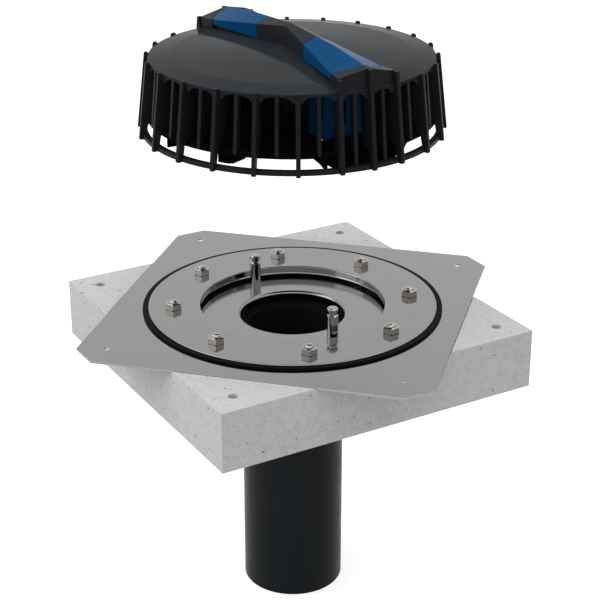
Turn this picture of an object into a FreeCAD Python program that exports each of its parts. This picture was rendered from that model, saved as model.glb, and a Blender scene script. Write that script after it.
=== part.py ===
import FreeCAD, Part
import math
import os
import Sketcher
from FreeCAD import Placement, Rotation, Vector

# Siphonic flat roof drain with its leaf guard lifted off, in millimetres.
# The origin is the centre of the sheet flange's top face. X and Y run along the
# flange's sides, and Z points up, out of the roof.

DRIVING_SIZES = {
    # Sheet flange with its pressed pan and rolled throat
    "flange_side": 300, "flange_corner": 20, "flange_thick": 2,
    "fixing_span": 250, "fixing_hole_r": 2.5,
    "pan_past_lip": 5, "pan_slope": 3, "pan_depth": 6.7, "pan_bend": 1.6,
    "throat_r": 43, "throat_depth": 8.3, "throat_bend": 3.6,
    # Insulation block that the flange beds on, turned by 45 degrees
    "block_side": 297, "block_high": 50.5, "block_turn": 45,
    "block_hole_span": 253, "block_hole_r": 4, "block_fit": 0.5,
    # Outlet pipe and the adapter that joins it to the throat
    "pipe_r": 45, "pipe_wall": 3.5, "pipe_end": 272,
    "adapter_wall": 4.7, "adapter_flange_r": 62, "adapter_flange_thick": 5,
    "adapter_throat_deep": 9, "adapter_stop_high": 3, "adapter_socket_deep": 24,
    "socket_fit": 0.05, "socket_gap": 0.3, "pipe_seat_in": 0.7, "throat_fit": 0.4,
    "seal_thick": 1.2, "seal_width": 12,
    # Clamp ring, its gasket, and the weld studs with their nuts
    "gasket_thick": 1.2, "gasket_r": 130, "gasket_set_back": 3,
    "clamp_r": 127, "clamp_inner_r": 80.5, "clamp_thick": 1.8, "clamp_bevel": 0.6,
    "clamp_lip_deep": 4.2, "clamp_lip_thick": 1.5, "clamp_lip_bend": 1.4,
    "stud_circle_r": 103.85, "stud_r": 4, "stud_proud": 1.7, "stud_chamfer": 0.7,
    "stud_hole_fit": 0.4, "stud_count": 8, "first_stud_angle": 22.5,
    "nut_across": 13, "nut_high": 5.9, "nut_chamfer": 0.7, "nut_bore_fit": 0.05,
    # Snap pins that hold the leaf guard down
    "pin_circle_r": 67.1, "pin_r": 4.7, "pin_high": 29.9, "pin_head_high": 3,
    "pin_neck_high": 3.3, "pin_neck_r": 3.45, "pin_bevel": 0.9,
    "pin_flat_deep": 1.1, "pin_flat_foot": 8,
    # Leaf guard: how far it is lifted, and its cover disc
    "guard_lift": 162.1, "bridge_angle": -45, "seat_gap": 0.3,
    "cover_overhang": 0.7, "cover_edge_z": 62.6, "cover_lip": 1.6, "cover_thick": 2.4,
    "cover_crease_r": 98, "cover_crease_z": 65.2,
    "cover_middle_r": 50, "cover_middle_z": 67.9, "cover_crown_z": 69.9,
    # Leaf guard: cage wall, rings and ribs
    "cage_wall": 2.6, "cage_top_r": 117.2, "cage_foot_out": 4.7, "collar_foot_z": 55.4,
    "arch_crown_z": 60, "arch_foot_z": 55.9, "arch_step": 2.8, "arch_shoulder_drop": 1,
    "mid_ring_z": 14.4, "mid_ring_high": 2.6, "mid_ring_wide": 3.2,
    "low_ring_z": 0.5, "low_ring_high": 3.9, "low_ring_set_in": 1.9, "low_ring_wide": 5.4,
    "rib_foot_out": 6.9, "rib_top_out": 4.1, "rib_top_z": 63.9, "rib_thick": 3.5,
    "rib_top_wide": 2.4, "bar_thick": 3.2, "bar_top_z": 60.4, "gable_half_angle": 12.39, "side_bays": 10,
    # Leaf guard: the bridge across the cover, wide at its ends and narrow at its waist
    "waist_half": 5.3, "bridge_end_half": 26.1, "bridge_end_out": 1.3, "bridge_wall": 2.4,
    "waist_ridge_z": 87.9, "ridge_kink_s": 70, "ridge_kink_z": 83.9,
    "end_ridge_z": 77.9, "waist_eave_z": 85.9, "eave_break_s": 95, "eave_break_z": 73.2,
    "end_eave_z": 72.4, "bridge_root_z": 61,
    # Grips: the blue caps set into the bridge and the catches under them
    "grip_start_s": 38, "grip_round_s": 85.4, "grip_round_r": 24.6, "grip_foot_z": 68.6,
    "grip_wall": 2.2, "grip_end_gap": 0.7, "grip_side_gap": 0.4,
    "sill_thick": 1.2, "sill_drop": 0.5,
    "axle_z": 71.9, "axle_r": 2, "axle_fit": 0.06, "lug_inner_t": 7.4, "lug_thick": 2.6,
    "lug_half": 5, "lug_top": 3.5, "web_gap": 0.4, "web_thick": 2.2,
    "web_start_s": 61.5, "web_end_s": 78.5, "slot_play": 1.6, "web_foot_z": 58,
    "catch_start_s": 58, "catch_end_s": 80, "catch_half": 18, "catch_wall": 2.2,
    "fork_z": 13.9, "fork_thick": 2.4, "fork_notch_r": 3.8,
    "catch_slot_half": 3, "catch_slot_low": 24, "catch_slot_high": 50,
    "grip_swing": 5, "grip_window_play": 1,
    # Function disc under the cage, with its vanes and its screw
    "disc_set_in": 1.7, "disc_z": 12.4, "disc_thick": 2, "disc_ridge_r": 47.5,
    "disc_ridge_thick": 2.5, "disc_ridge_high": 3.6,
    "vane_thick": 2, "vane_inner_r": 52, "vane_foot_z": 1.6, "vane_turn_r": 96, "vane_clear_r": 67,
    "tray_inner_r": 86, "tray_foot_z": 0.9, "tray_wall": 2, "tray_side_angle": 1, "tray_rim_fit": 0.5,
    "lip_inner_r": 114, "lip_thick": 2,
    "near_lip_out": 13, "near_lip_turn": 5.8, "near_lip_turn_z": 7, "near_lip_in": 10,
    "near_lip_foot_z": 1.2, "near_lip_notch": 6, "near_lip_notch_z": 5,
    "far_lip_out": 19, "far_lip_turn": 3.6, "far_lip_turn_z": 7, "far_lip_in": 11.5,
    "far_lip_foot_z": 4,
    "first_vane_angle": 17, "second_vane_angle": 54,
    "column_r": 7.5, "column_taper": 1.5, "screw_r": 2.5, "screw_long": 16,
    "screw_fit": 0.05, "screw_slot_half": 0.7,
    "screw_head_r": 5, "screw_head_high": 2.6,
    "gusset_thick": 2.4, "gusset_reach": 70, "gusset_drop": 26, "gusset_tip_z": 63.1,
}

ALL_ROUND = 360
HALF_TURN = 180
HEX_SIDES = 6
HEX_CORNER_TURN = 30
GUSSET_ANGLES = (45, 135, 225, 315)
CROSS_VANE_ANGLE = 90

doc = FreeCAD.newDocument("flat_roof_drain")
sheet = doc.addObject("Spreadsheet::Sheet", "Sizes")
for row, (alias, number) in enumerate(DRIVING_SIZES.items(), start=1):
    sheet.set(f"A{row}", alias)
    sheet.set(f"B{row}", str(number))
    sheet.setAlias(f"B{row}", alias)
doc.recompute()


class Size:
    """A size of the drain: its number, and the expression it follows."""

    def __init__(self, value, text):
        self.value = value
        self.text = text

    def __add__(self, other):
        other = as_size(other)
        return Size(self.value + other.value, f"({self.text} + {other.text})")

    def __sub__(self, other):
        other = as_size(other)
        return Size(self.value - other.value, f"({self.text} - {other.text})")

    def __mul__(self, other):
        other = as_size(other)
        return Size(self.value * other.value, f"({self.text} * {other.text})")

    def __truediv__(self, other):
        other = as_size(other)
        return Size(self.value / other.value, f"({self.text} / {other.text})")

    def __neg__(self):
        return Size(-self.value, f"(0 - {self.text})")

    def __rsub__(self, other):
        return as_size(other) - self

    __radd__ = __add__

    def __rmul__(self, other):
        return self * other


def as_size(number):
    return number if isinstance(number, Size) else Size(float(number), f"({number})")


def cos_of(angle):
    return Size(math.cos(math.radians(angle.value)), f"cos({angle.text})")


def sin_of(angle):
    return Size(math.sin(math.radians(angle.value)), f"sin({angle.text})")


class SizeTable:
    """Every driving size under its own name."""


size = SizeTable()
for alias in DRIVING_SIZES:
    setattr(size, alias, Size(float(sheet.get(alias)), f"Sizes.{alias}"))


# Ways to draw and combine

def bind(thing, path, value):
    thing.setExpression(path, as_size(value).text)


def place(thing, x=0, y=0, z=0):
    for axis, value in zip("xyz", (x, y, z)):
        bind(thing, f"Placement.Base.{axis}", value)
    return thing


def turn_about_z(thing, angle):
    bind(thing, "Placement.Rotation.Angle", angle)
    return thing


def draw(sketch, points):
    """A closed outline through the points, each one held by two bound distances."""
    corners = [Vector(as_size(x).value, as_size(y).value, 0) for x, y in points]
    count = len(corners)
    for i in range(count):
        sketch.addGeometry(Part.LineSegment(corners[i], corners[(i + 1) % count]), False)
    for i in range(count):
        sketch.addConstraint(Sketcher.Constraint("Coincident", i, 2, (i + 1) % count, 1))
    for i, point in enumerate(points):
        for kind, coordinate in zip(("DistanceX", "DistanceY"), point):
            at = as_size(coordinate)
            index = sketch.addConstraint(Sketcher.Constraint(kind, -1, 1, i, 1, at.value))
            sketch.setExpression(f"Constraints[{index}]", at.text)
    return sketch


def origin_plane(body, role):
    return [feature for feature in body.Origin.OriginFeatures if feature.Role == role][0]


def body_sketch(body, role, name):
    sketch = body.newObject("Sketcher::SketchObject", name)
    sketch.AttachmentSupport = [(origin_plane(body, role), "")]
    sketch.MapMode = "FlatFace"
    return sketch


def circle_on(sketch, radius, x=0, y=0):
    """A circle whose radius and centre are bound."""
    centre = Vector(as_size(x).value, as_size(y).value, 0)
    shape = Part.Circle(centre, Vector(0, 0, 1), as_size(radius).value)
    index = sketch.addGeometry(shape, False)
    for kind, value in (("DistanceX", x), ("DistanceY", y)):
        at = as_size(value)
        held = sketch.addConstraint(Sketcher.Constraint(kind, -1, 1, index, 3, at.value))
        sketch.setExpression(f"Constraints[{held}]", at.text)
    held = sketch.addConstraint(Sketcher.Constraint("Radius", index, as_size(radius).value))
    sketch.setExpression(f"Constraints[{held}]", as_size(radius).text)


def turned_body(label, points):
    """A body turned about Z from its half section, given as radius and height."""
    body = doc.addObject("PartDesign::Body", label)
    section = draw(body_sketch(body, "XZ_Plane", f"{label}_section"), points)
    turning = body.newObject("PartDesign::Revolution", f"{label}_turning")
    turning.Profile = section
    turning.ReferenceAxis = (section, ["V_Axis"])
    turning.Angle = ALL_ROUND
    body.Tip = turning
    return body


def drilled(body, name, spots, radius):
    """Holes right through a body, along Z."""
    sketch = body_sketch(body, "XY_Plane", f"{name}_spots")
    for x, y in spots:
        circle_on(sketch, radius, x, y)
    pocket = body.newObject("PartDesign::Pocket", name)
    pocket.Profile = sketch
    pocket.Type = "ThroughAll"
    pocket.Midplane = True
    body.Tip = pocket
    return body


def softened(body, name, radius, wanted):
    """A fillet on the circular edges that lie at the wanted radii and heights."""
    doc.recompute()
    base = body.Tip
    names = []
    for number, edge in enumerate(base.Shape.Edges, start=1):
        if not hasattr(edge.Curve, "Radius"):
            continue
        for edge_r, edge_z in wanted:
            same_r = abs(edge.Curve.Radius - edge_r.value) < 0.01
            if same_r and abs(edge.Curve.Center.z - edge_z.value) < 0.01:
                names.append(f"Edge{number}")
    fillet = body.newObject("PartDesign::Fillet", name)
    fillet.Base = (base, names)
    bind(fillet, "Radius", radius)
    body.Tip = fillet
    return body


def cylinder(name, radius, height, x=0, y=0, z=0):
    rod = doc.addObject("Part::Cylinder", name)
    bind(rod, "Radius", radius)
    bind(rod, "Height", height)
    return place(rod, x, y, z)


def cone(name, foot_r, top_r, height, z):
    taper = doc.addObject("Part::Cone", name)
    bind(taper, "Radius1", foot_r)
    bind(taper, "Radius2", top_r)
    bind(taper, "Height", height)
    return place(taper, 0, 0, z)


def slab(name, low, high, end=0):
    """A box between two corners, or the same box half a turn round from there."""
    if end:
        low, high = (-high[0], -high[1], low[2]), (-low[0], -low[1], high[2])
    box = doc.addObject("Part::Box", name)
    for side, start, end in zip(("Length", "Width", "Height"), low, high):
        bind(box, side, end - start)
    return place(box, *low)


def joined(name, pieces):
    union = doc.addObject("Part::MultiFuse", name)
    union.Shapes = pieces
    union.Refine = True
    return union


def cut_from(name, base, tool):
    result = doc.addObject("Part::Cut", name)
    result.Base = base
    result.Tool = tool
    result.Refine = True
    return result


def shared(name, first, second):
    result = doc.addObject("Part::Common", name)
    result.Base = first
    result.Tool = second
    return result


def turned(name, points, angle=ALL_ROUND, start=0):
    """A solid turned about Z from a free outline, over all or part of a turn."""
    section = draw(doc.addObject("Sketcher::SketchObject", f"{name}_section"), points)
    section.Placement = Placement(Vector(), Rotation(Vector(1, 0, 0), 90))
    ring = doc.addObject("Part::Revolution", name)
    ring.Source = section
    ring.Axis = Vector(0, 0, 1)
    ring.Solid = True
    bind(ring, "Angle", angle)
    return turn_about_z(ring, start)


def blade_sketch(name, points):
    """An outline in the upright plane through Z, given as radius and height."""
    sketch = draw(doc.addObject("Sketcher::SketchObject", name), points)
    sketch.Placement = Placement(Vector(), Rotation(Vector(1, 0, 0), 90))
    return sketch


def blade(name, sketch, thick, angle=0):
    """A flat blade of even thickness, standing upright and turned about Z."""
    upright = doc.addObject("Part::Extrusion", name)
    upright.Base = sketch
    upright.DirMode = "Custom"
    upright.Dir = Vector(0, 1, 0)
    upright.Solid = True
    upright.Symmetric = True
    bind(upright, "LengthFwd", thick)
    return turn_about_z(upright, angle)


def axle_rod(name, radius, half_long, end=0):
    """A rod across the bridge, above the snap pin."""
    rod = doc.addObject("Part::Cylinder", name)
    bind(rod, "Radius", radius)
    bind(rod, "Height", 2 * half_long)
    rod.Placement = Placement(Vector(), Rotation(Vector(1, 0, 0), 90))
    distance = size.pin_circle_r
    return place(rod, -distance if end else distance, half_long, size.axle_z)


ACROSS = Rotation(Vector(1, 1, 1), 120)


def pushed_through(name, points, start, end, angle=0):
    """An outline across the radius, pushed outwards from start to end."""
    sketch = draw(doc.addObject("Sketcher::SketchObject", f"{name}_outline"), points)
    sketch.Placement = Placement(Vector(), ACROSS)
    bind(sketch, "Placement.Base.x", start)
    block = doc.addObject("Part::Extrusion", name)
    block.Base = sketch
    block.DirMode = "Custom"
    block.Dir = Vector(1, 0, 0)
    block.Solid = True
    bind(block, "LengthFwd", end - start)
    return turn_about_z(block, angle)


nodes = []


def node(thing, label):
    """A finished sub-part: its label is the name of its file."""
    thing.Label = label
    nodes.append(thing)
    return thing


# Sheet flange

half = size.flange_side / 2
inside = half - size.flange_corner
pan_top = -size.pan_depth
pan_under = pan_top - size.flange_thick
flange_under = -size.flange_thick

flange = doc.addObject("PartDesign::Body", "flange_plate")
flange_outline = draw(body_sketch(flange, "XY_Plane", "flange_outline"), [
    (half, -inside), (half, inside), (inside, half), (-inside, half),
    (-half, inside), (-half, -inside), (-inside, -half), (inside, -half)])
flange_sheet = flange.newObject("PartDesign::Pad", "flange_sheet")
flange_sheet.Profile = flange_outline
flange_sheet.Reversed = True
bind(flange_sheet, "Length", size.flange_thick)
# The clamp ring's lip hangs into the pan, so the pan is that much wider than the lip
lip_r = size.clamp_inner_r + size.clamp_lip_thick
pan_r = lip_r + size.pan_past_lip
pan_opening_sketch = body_sketch(flange, "XY_Plane", "pan_opening_circle")
circle_on(pan_opening_sketch, pan_r)
pan_opening = flange.newObject("PartDesign::Pocket", "pan_opening")
pan_opening.Profile = pan_opening_sketch
pan_opening.Type = "ThroughAll"
pan_opening.Midplane = True
throat_end = pan_top - size.throat_depth
throat_outer_r = size.throat_r + size.flange_thick
pan_inner_r = pan_r - size.pan_slope
pan_section = draw(body_sketch(flange, "XZ_Plane", "pan_section"), [
    (pan_r, 0), (pan_inner_r, pan_top), (size.throat_r, pan_top),
    (size.throat_r, throat_end), (throat_outer_r, throat_end),
    (throat_outer_r, pan_under), (pan_inner_r, pan_under), (pan_r, flange_under)])
pan = flange.newObject("PartDesign::Revolution", "pan_and_throat")
pan.Profile = pan_section
pan.ReferenceAxis = (pan_section, ["V_Axis"])
pan.Angle = ALL_ROUND
flange.Tip = pan
softened(flange, "throat_roll", size.throat_bend, [(size.throat_r, pan_top)])
softened(flange, "pan_bend_fillet", size.pan_bend,
         [(pan_inner_r, pan_top), (pan_r, as_size(0))])
fixing = size.fixing_span / 2
drilled(flange, "fixing_holes", [(x, y) for x in (fixing, -fixing) for y in (fixing, -fixing)],
        size.fixing_hole_r)
node(flange, "flange_plate")

# Adapter and its seal, under the pan

seal_top = pan_under
adapter_top = seal_top - size.seal_thick
stop_top = adapter_top - size.adapter_throat_deep
stop_foot = stop_top - size.adapter_stop_high
adapter_foot = stop_foot - size.adapter_socket_deep
pipe_seat_r = size.pipe_r - size.pipe_seat_in
socket_r = pipe_seat_r + size.socket_fit
adapter_r = socket_r + size.adapter_wall
pipe_bore_r = size.pipe_r - size.pipe_wall
throat_pocket_r = throat_outer_r + size.throat_fit
adapter_flange_foot = adapter_top - size.adapter_flange_thick
node(turned_body("pipe_adapter", [
    (throat_pocket_r, adapter_top), (size.adapter_flange_r, adapter_top),
    (size.adapter_flange_r, adapter_flange_foot), (adapter_r, adapter_flange_foot),
    (adapter_r, adapter_foot), (socket_r, adapter_foot), (socket_r, stop_foot),
    (pipe_bore_r, stop_foot), (pipe_bore_r, stop_top), (throat_pocket_r, stop_top)]),
    "pipe_adapter")
seal_r = throat_pocket_r + size.seal_width
node(turned_body("throat_seal", [
    (throat_pocket_r, adapter_top), (seal_r, adapter_top),
    (seal_r, seal_top), (throat_pocket_r, seal_top)]), "throat_seal")

# Outlet pipe, whose end is turned down a little where it sits in the adapter

pipe_foot = -size.pipe_end
pipe_shoulder = adapter_foot - size.socket_gap
node(turned_body("outlet_pipe", [
    (pipe_bore_r, pipe_foot), (size.pipe_r, pipe_foot),
    (size.pipe_r, pipe_shoulder), (pipe_seat_r, pipe_shoulder),
    (pipe_seat_r, stop_foot), (pipe_bore_r, stop_foot)]), "outlet_pipe")

# Insulation block

block_foot = flange_under - size.block_high
block_half = size.block_side / 2
block = doc.addObject("PartDesign::Body", "insulation_block")
block_outline = draw(body_sketch(block, "XY_Plane", "block_outline"), [
    (block_half, -block_half), (block_half, block_half),
    (-block_half, block_half), (-block_half, -block_half)])
bind(block_outline, "AttachmentOffset.Base.z", block_foot)
block_pad = block.newObject("PartDesign::Pad", "block_pad")
block_pad.Profile = block_outline
bind(block_pad, "Length", size.block_high)
bed_r = pan_r + size.block_fit
bed_foot = pan_under - size.block_fit
well_r = size.adapter_flange_r + size.block_fit
well_foot = adapter_flange_foot
bore_r = adapter_r + size.block_fit
block_well = draw(body_sketch(block, "XZ_Plane", "block_well"), [
    (0, flange_under), (bed_r, flange_under), (bed_r, bed_foot), (well_r, bed_foot),
    (well_r, well_foot), (bore_r, well_foot), (bore_r, block_foot), (0, block_foot)])
well = block.newObject("PartDesign::Groove", "block_well_groove")
well.Profile = block_well
well.ReferenceAxis = (block_well, ["V_Axis"])
well.Angle = ALL_ROUND
block.Tip = well
spot = size.block_hole_span / 2
drilled(block, "block_holes", [(x, y) for x in (spot, -spot) for y in (spot, -spot)],
        size.block_hole_r)
turn_about_z(block, size.block_turn)
node(block, "insulation_block")

# Gasket and clamp ring

clamp_under = size.gasket_thick
clamp_top = clamp_under + size.clamp_thick
hole_r = size.stud_r + size.stud_hole_fit


def stud_angle(index):
    step = as_size(ALL_ROUND) / size.stud_count
    return size.first_stud_angle + index * step


stud_angles = [stud_angle(i) for i in range(int(size.stud_count.value))]
stud_spots = [(size.stud_circle_r * cos_of(a), size.stud_circle_r * sin_of(a)) for a in stud_angles]
gasket_inner_r = pan_r + size.gasket_set_back
gasket = turned_body("flange_gasket", [
    (gasket_inner_r, 0), (size.gasket_r, 0),
    (size.gasket_r, clamp_under), (gasket_inner_r, clamp_under)])
node(drilled(gasket, "gasket_holes", stud_spots, hole_r), "flange_gasket")

lip_foot = clamp_under - size.clamp_lip_deep
ring = turned_body("clamp_ring", [
    (size.clamp_inner_r, lip_foot), (lip_r, lip_foot), (lip_r, clamp_under),
    (size.clamp_r, clamp_under), (size.clamp_r, clamp_top - size.clamp_bevel),
    (size.clamp_r - size.clamp_bevel, clamp_top), (size.clamp_inner_r, clamp_top)])
softened(ring, "clamp_lip_roll", size.clamp_lip_bend, [(size.clamp_inner_r, clamp_top)])
node(drilled(ring, "clamp_holes", stud_spots, hole_r), "clamp_ring")

# Weld studs and nuts

nut_top = clamp_top + size.nut_high
stud_top = nut_top + size.stud_proud
nut_corner_r = size.nut_across / 2 / cos_of(as_size(HEX_CORNER_TURN))
for index, (x, y) in enumerate(stud_spots):
    number = index + 1
    shank = cylinder(f"stud_shank_{number}", size.stud_r, stud_top - size.stud_chamfer)
    point = cone(f"stud_point_{number}", size.stud_r, size.stud_r - size.stud_chamfer,
                 size.stud_chamfer, stud_top - size.stud_chamfer)
    stud = joined(f"stud_{number}", [shank, point])
    node(place(stud, x, y), f"clamp_stud_{number}")
    hexagon = doc.addObject("Part::Prism", f"nut_hexagon_{number}")
    hexagon.Polygon = HEX_SIDES
    bind(hexagon, "Circumradius", nut_corner_r)
    bind(hexagon, "Height", size.nut_high)
    bowl = cone(f"nut_bowl_{number}", nut_corner_r + size.nut_high,
                nut_corner_r - size.nut_chamfer, size.nut_high, 0)
    blank = shared(f"nut_blank_{number}", hexagon, bowl)
    thread = cylinder(f"nut_thread_{number}", size.stud_r + size.nut_bore_fit, size.nut_high)
    nut = cut_from(f"nut_{number}", blank, thread)
    place(nut, x, y, clamp_top)
    node(turn_about_z(nut, stud_angle(index)), f"clamp_nut_{number}")

# Snap pins

pin_neck_foot = size.pin_high - size.pin_head_high - size.pin_neck_high
pin_head_foot = size.pin_high - size.pin_head_high
pin_sketch_points = [
    (0, 0), (size.pin_r, 0), (size.pin_r, pin_neck_foot - size.pin_bevel),
    (size.pin_neck_r, pin_neck_foot), (size.pin_neck_r, pin_head_foot),
    (size.pin_r, pin_head_foot), (size.pin_r, size.pin_high - size.pin_bevel),
    (size.pin_r - size.pin_bevel, size.pin_high), (0, size.pin_high)]
for number, side in ((1, size.bridge_angle), (2, size.bridge_angle + HALF_TURN)):
    pin = turned(f"pin_turning_{number}", pin_sketch_points)
    flat = slab(f"pin_flat_{number}",
                (size.pin_r - size.pin_flat_deep, -size.pin_r, size.pin_flat_foot),
                (size.pin_r + size.pin_bevel, size.pin_r, pin_neck_foot - size.pin_bevel))
    milled = cut_from(f"pin_{number}", pin, flat)
    place(milled, size.pin_circle_r * cos_of(side), size.pin_circle_r * sin_of(side), pan_top)
    node(milled, f"dome_pin_{number}")

# Leaf guard. It is drawn with its bridge along X and its feet at Z = 0, and then
# turned in line with the pins and lifted.

cage_foot_r = size.cage_top_r + size.cage_foot_out
cover_r = size.cage_top_r + size.cover_overhang
low_ring_inner_r = cage_foot_r - size.low_ring_set_in
low_ring_r = low_ring_inner_r + size.low_ring_wide
rib_foot_r = cage_foot_r + size.rib_foot_out
rib_top_r = size.cage_top_r + size.rib_top_out
bridge_end_s = size.cage_top_r + size.bridge_end_out
disc_r = cage_foot_r - size.disc_set_in
lean = (cage_foot_r - size.cage_top_r) / (size.cover_edge_z - size.mid_ring_z)


def wall_r(z):
    """Outer radius of the leaning cage wall at a height."""
    return size.cage_top_r + (size.cover_edge_z - z) * lean


cover_under = size.cover_edge_z - size.cover_thick
cover = turned("cover_and_collar", [
    (0, size.cover_crown_z), (size.cover_middle_r, size.cover_middle_z),
    (size.cover_crease_r, size.cover_crease_z), (cover_r, size.cover_edge_z),
    (cover_r, size.cover_edge_z - size.cover_lip),
    (wall_r(size.cover_edge_z - size.cover_lip), size.cover_edge_z - size.cover_lip),
    (wall_r(size.collar_foot_z), size.collar_foot_z),
    (wall_r(size.collar_foot_z) - size.cage_wall, size.collar_foot_z),
    (wall_r(cover_under) - size.cage_wall, cover_under),
    (size.cover_crease_r, size.cover_crease_z - size.cover_thick),
    (size.cover_middle_r, size.cover_middle_z - size.cover_thick),
    (0, size.cover_crown_z - size.cover_thick)])

side_bay = (HALF_TURN - 2 * size.gable_half_angle) / size.side_bays
side_total = int(size.side_bays.value)
rib_angles = []
bar_angles = []
gable_bar_angles = []
arches = []
for end in (0, HALF_TURN):
    rib_angles += [end + size.gable_half_angle + k * side_bay for k in range(1, side_total)]
    for k in range(side_total):
        middle = end + size.gable_half_angle + (k + 0.5) * side_bay
        bar_angles.append(middle)
        arches.append((middle, side_bay / 2))
    for way in (-1, 1):
        middle = end + way * size.gable_half_angle / 2
        gable_bar_angles.append(middle)
        arches.append((middle, size.gable_half_angle / 2))

arch_cutters = []
for number, (middle, half_bay) in enumerate(arches, start=1):
    foot_half = size.cage_top_r * sin_of(half_bay) - size.rib_thick
    shoulder_half = foot_half - size.arch_step
    crown_half = shoulder_half - size.arch_step
    shoulder_z = size.arch_crown_z - size.arch_shoulder_drop
    below = size.collar_foot_z - size.cage_wall
    arch_cutters.append(pushed_through(f"arch_{number}", [
        (-foot_half, below), (foot_half, below), (foot_half, size.arch_foot_z),
        (shoulder_half, shoulder_z), (crown_half, size.arch_crown_z),
        (-crown_half, size.arch_crown_z), (-shoulder_half, shoulder_z),
        (-foot_half, size.arch_foot_z)],
        size.cover_crease_r, rib_foot_r, middle))
collar = cut_from("arched_cover", cover, joined("arch_cuts", arch_cutters))


def rib_points(top_z):
    """Outline of a leaning rib: its foot stands out, and its tip clears the cover's edge."""
    rise = (rib_foot_r - rib_top_r) / size.rib_top_z
    tip_r = rib_foot_r - top_z * rise
    inner_low = low_ring_inner_r + size.cage_wall
    return [
        (rib_foot_r, 0), (tip_r, top_z), (tip_r - size.rib_top_wide, top_z),
        (wall_r(size.cover_edge_z) - size.cage_wall / 2, size.cover_edge_z - size.cover_lip),
        (wall_r(size.mid_ring_z) - size.cage_wall / 2, size.mid_ring_z),
        (inner_low, size.low_ring_z + size.low_ring_high), (inner_low, size.low_ring_z),
        (rib_foot_r - size.rib_thick, 0)]


rib_sketch = blade_sketch("rib_outline", rib_points(size.rib_top_z))
ribs = [blade(f"rib_{number}", rib_sketch, size.rib_thick, angle)
        for number, angle in enumerate(rib_angles, start=1)]
peak_sketch = blade_sketch("peak_rib_outline", rib_points(size.end_ridge_z))
corner_sketch = blade_sketch("corner_rib_outline", rib_points(size.end_eave_z))
for end in (0, HALF_TURN):
    ribs.append(blade(f"peak_rib_{end}", peak_sketch, size.rib_thick, as_size(end)))
    for way in (-1, 1):
        ribs.append(blade(f"corner_rib_{end}_{way + 1}", corner_sketch, size.rib_thick,
                          end + way * size.gable_half_angle))

bar_sketch = blade_sketch("bar_outline", [
    (wall_r(size.mid_ring_z), size.mid_ring_z), (wall_r(size.bar_top_z), size.bar_top_z),
    (wall_r(size.bar_top_z) - size.cage_wall, size.bar_top_z),
    (wall_r(size.mid_ring_z) - size.cage_wall, size.mid_ring_z)])
gable_bar_foot = size.low_ring_z + size.low_ring_high / 2
gable_bar_sketch = blade_sketch("gable_bar_outline", [
    (wall_r(gable_bar_foot), gable_bar_foot), (wall_r(size.bar_top_z), size.bar_top_z),
    (wall_r(size.bar_top_z) - size.cage_wall, size.bar_top_z),
    (wall_r(gable_bar_foot) - size.cage_wall, gable_bar_foot)])
bars = [blade(f"bar_{number}", bar_sketch, size.bar_thick, angle)
        for number, angle in enumerate(bar_angles, start=1)]
bars += [blade(f"gable_bar_{number}", gable_bar_sketch, size.bar_thick, angle)
         for number, angle in enumerate(gable_bar_angles, start=1)]

mid_ring_top = size.mid_ring_z + size.mid_ring_high
mid_ring_inner_r = cage_foot_r - size.mid_ring_wide
mid_rings = [turned(f"mid_ring_{end}", [
    (mid_ring_inner_r, size.mid_ring_z), (cage_foot_r, size.mid_ring_z),
    (wall_r(mid_ring_top), mid_ring_top), (mid_ring_inner_r, mid_ring_top)],
    HALF_TURN - 2 * size.gable_half_angle, end + size.gable_half_angle) for end in (0, HALF_TURN)]
low_ring_top = size.low_ring_z + size.low_ring_high
low_ring = turned("low_ring", [
    (low_ring_inner_r, size.low_ring_z), (low_ring_r, size.low_ring_z),
    (low_ring_r, low_ring_top), (low_ring_inner_r, low_ring_top)])

# The bridge's outer form, and the same form inset by a wall

widening = (size.bridge_end_half - size.waist_half) / bridge_end_s
eave_fall = (size.waist_eave_z - size.eave_break_z) / size.eave_break_s
ridge_fall = (size.ridge_kink_z - size.end_ridge_z) / (bridge_end_s - size.ridge_kink_s)
end_fall = (size.eave_break_z - size.end_eave_z) / (bridge_end_s - size.eave_break_s)
loft_end = bridge_end_s + size.cage_wall * 2
SECTIONS = [
    ("waist", as_size(0), size.waist_eave_z, size.waist_ridge_z),
    ("kink", size.ridge_kink_s,
     size.waist_eave_z - eave_fall * size.ridge_kink_s, size.ridge_kink_z),
    ("break", size.eave_break_s, size.eave_break_z,
     size.ridge_kink_z - ridge_fall * (size.eave_break_s - size.ridge_kink_s)),
    ("end", loft_end, size.eave_break_z - end_fall * (loft_end - size.eave_break_s),
     size.ridge_kink_z - ridge_fall * (loft_end - size.ridge_kink_s))]


def bridge_form(name, inset, root_z, end=0):
    """Half of the bridge as a solid, from its waist to past the cover's edge."""
    sections = []
    for place_name, s, eave_z, ridge_z in SECTIONS:
        half_wide = size.waist_half + widening * s - inset
        sketch = draw(doc.addObject("Sketcher::SketchObject", f"{name}_{place_name}"), [
            (half_wide, root_z), (half_wide, eave_z - inset), (0, ridge_z - inset),
            (-half_wide, eave_z - inset), (-half_wide, root_z)])
        sketch.Placement = Placement(Vector(), ACROSS)
        bind(sketch, "Placement.Base.x", s)
        sections.append(sketch)
    loft = doc.addObject("Part::Loft", name)
    loft.Sections = sections
    loft.Solid = True
    loft.Ruled = True
    return turn_about_z(loft, as_size(end))


def grip_plan(name, grow, low_z, high_z, end=0):
    """The grip's outline seen from above: straight sides and a round outer end."""
    wide = size.bridge_end_half + size.grip_wall
    straight = slab(f"{name}_straight", (size.grip_start_s - grow, -wide, low_z),
                    (size.grip_round_s, wide, high_z))
    rounded = cylinder(f"{name}_round", size.grip_round_r + grow, high_z - low_z,
                       size.grip_round_s, 0, low_z)
    return turn_about_z(joined(name, [straight, rounded]), as_size(end))


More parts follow.
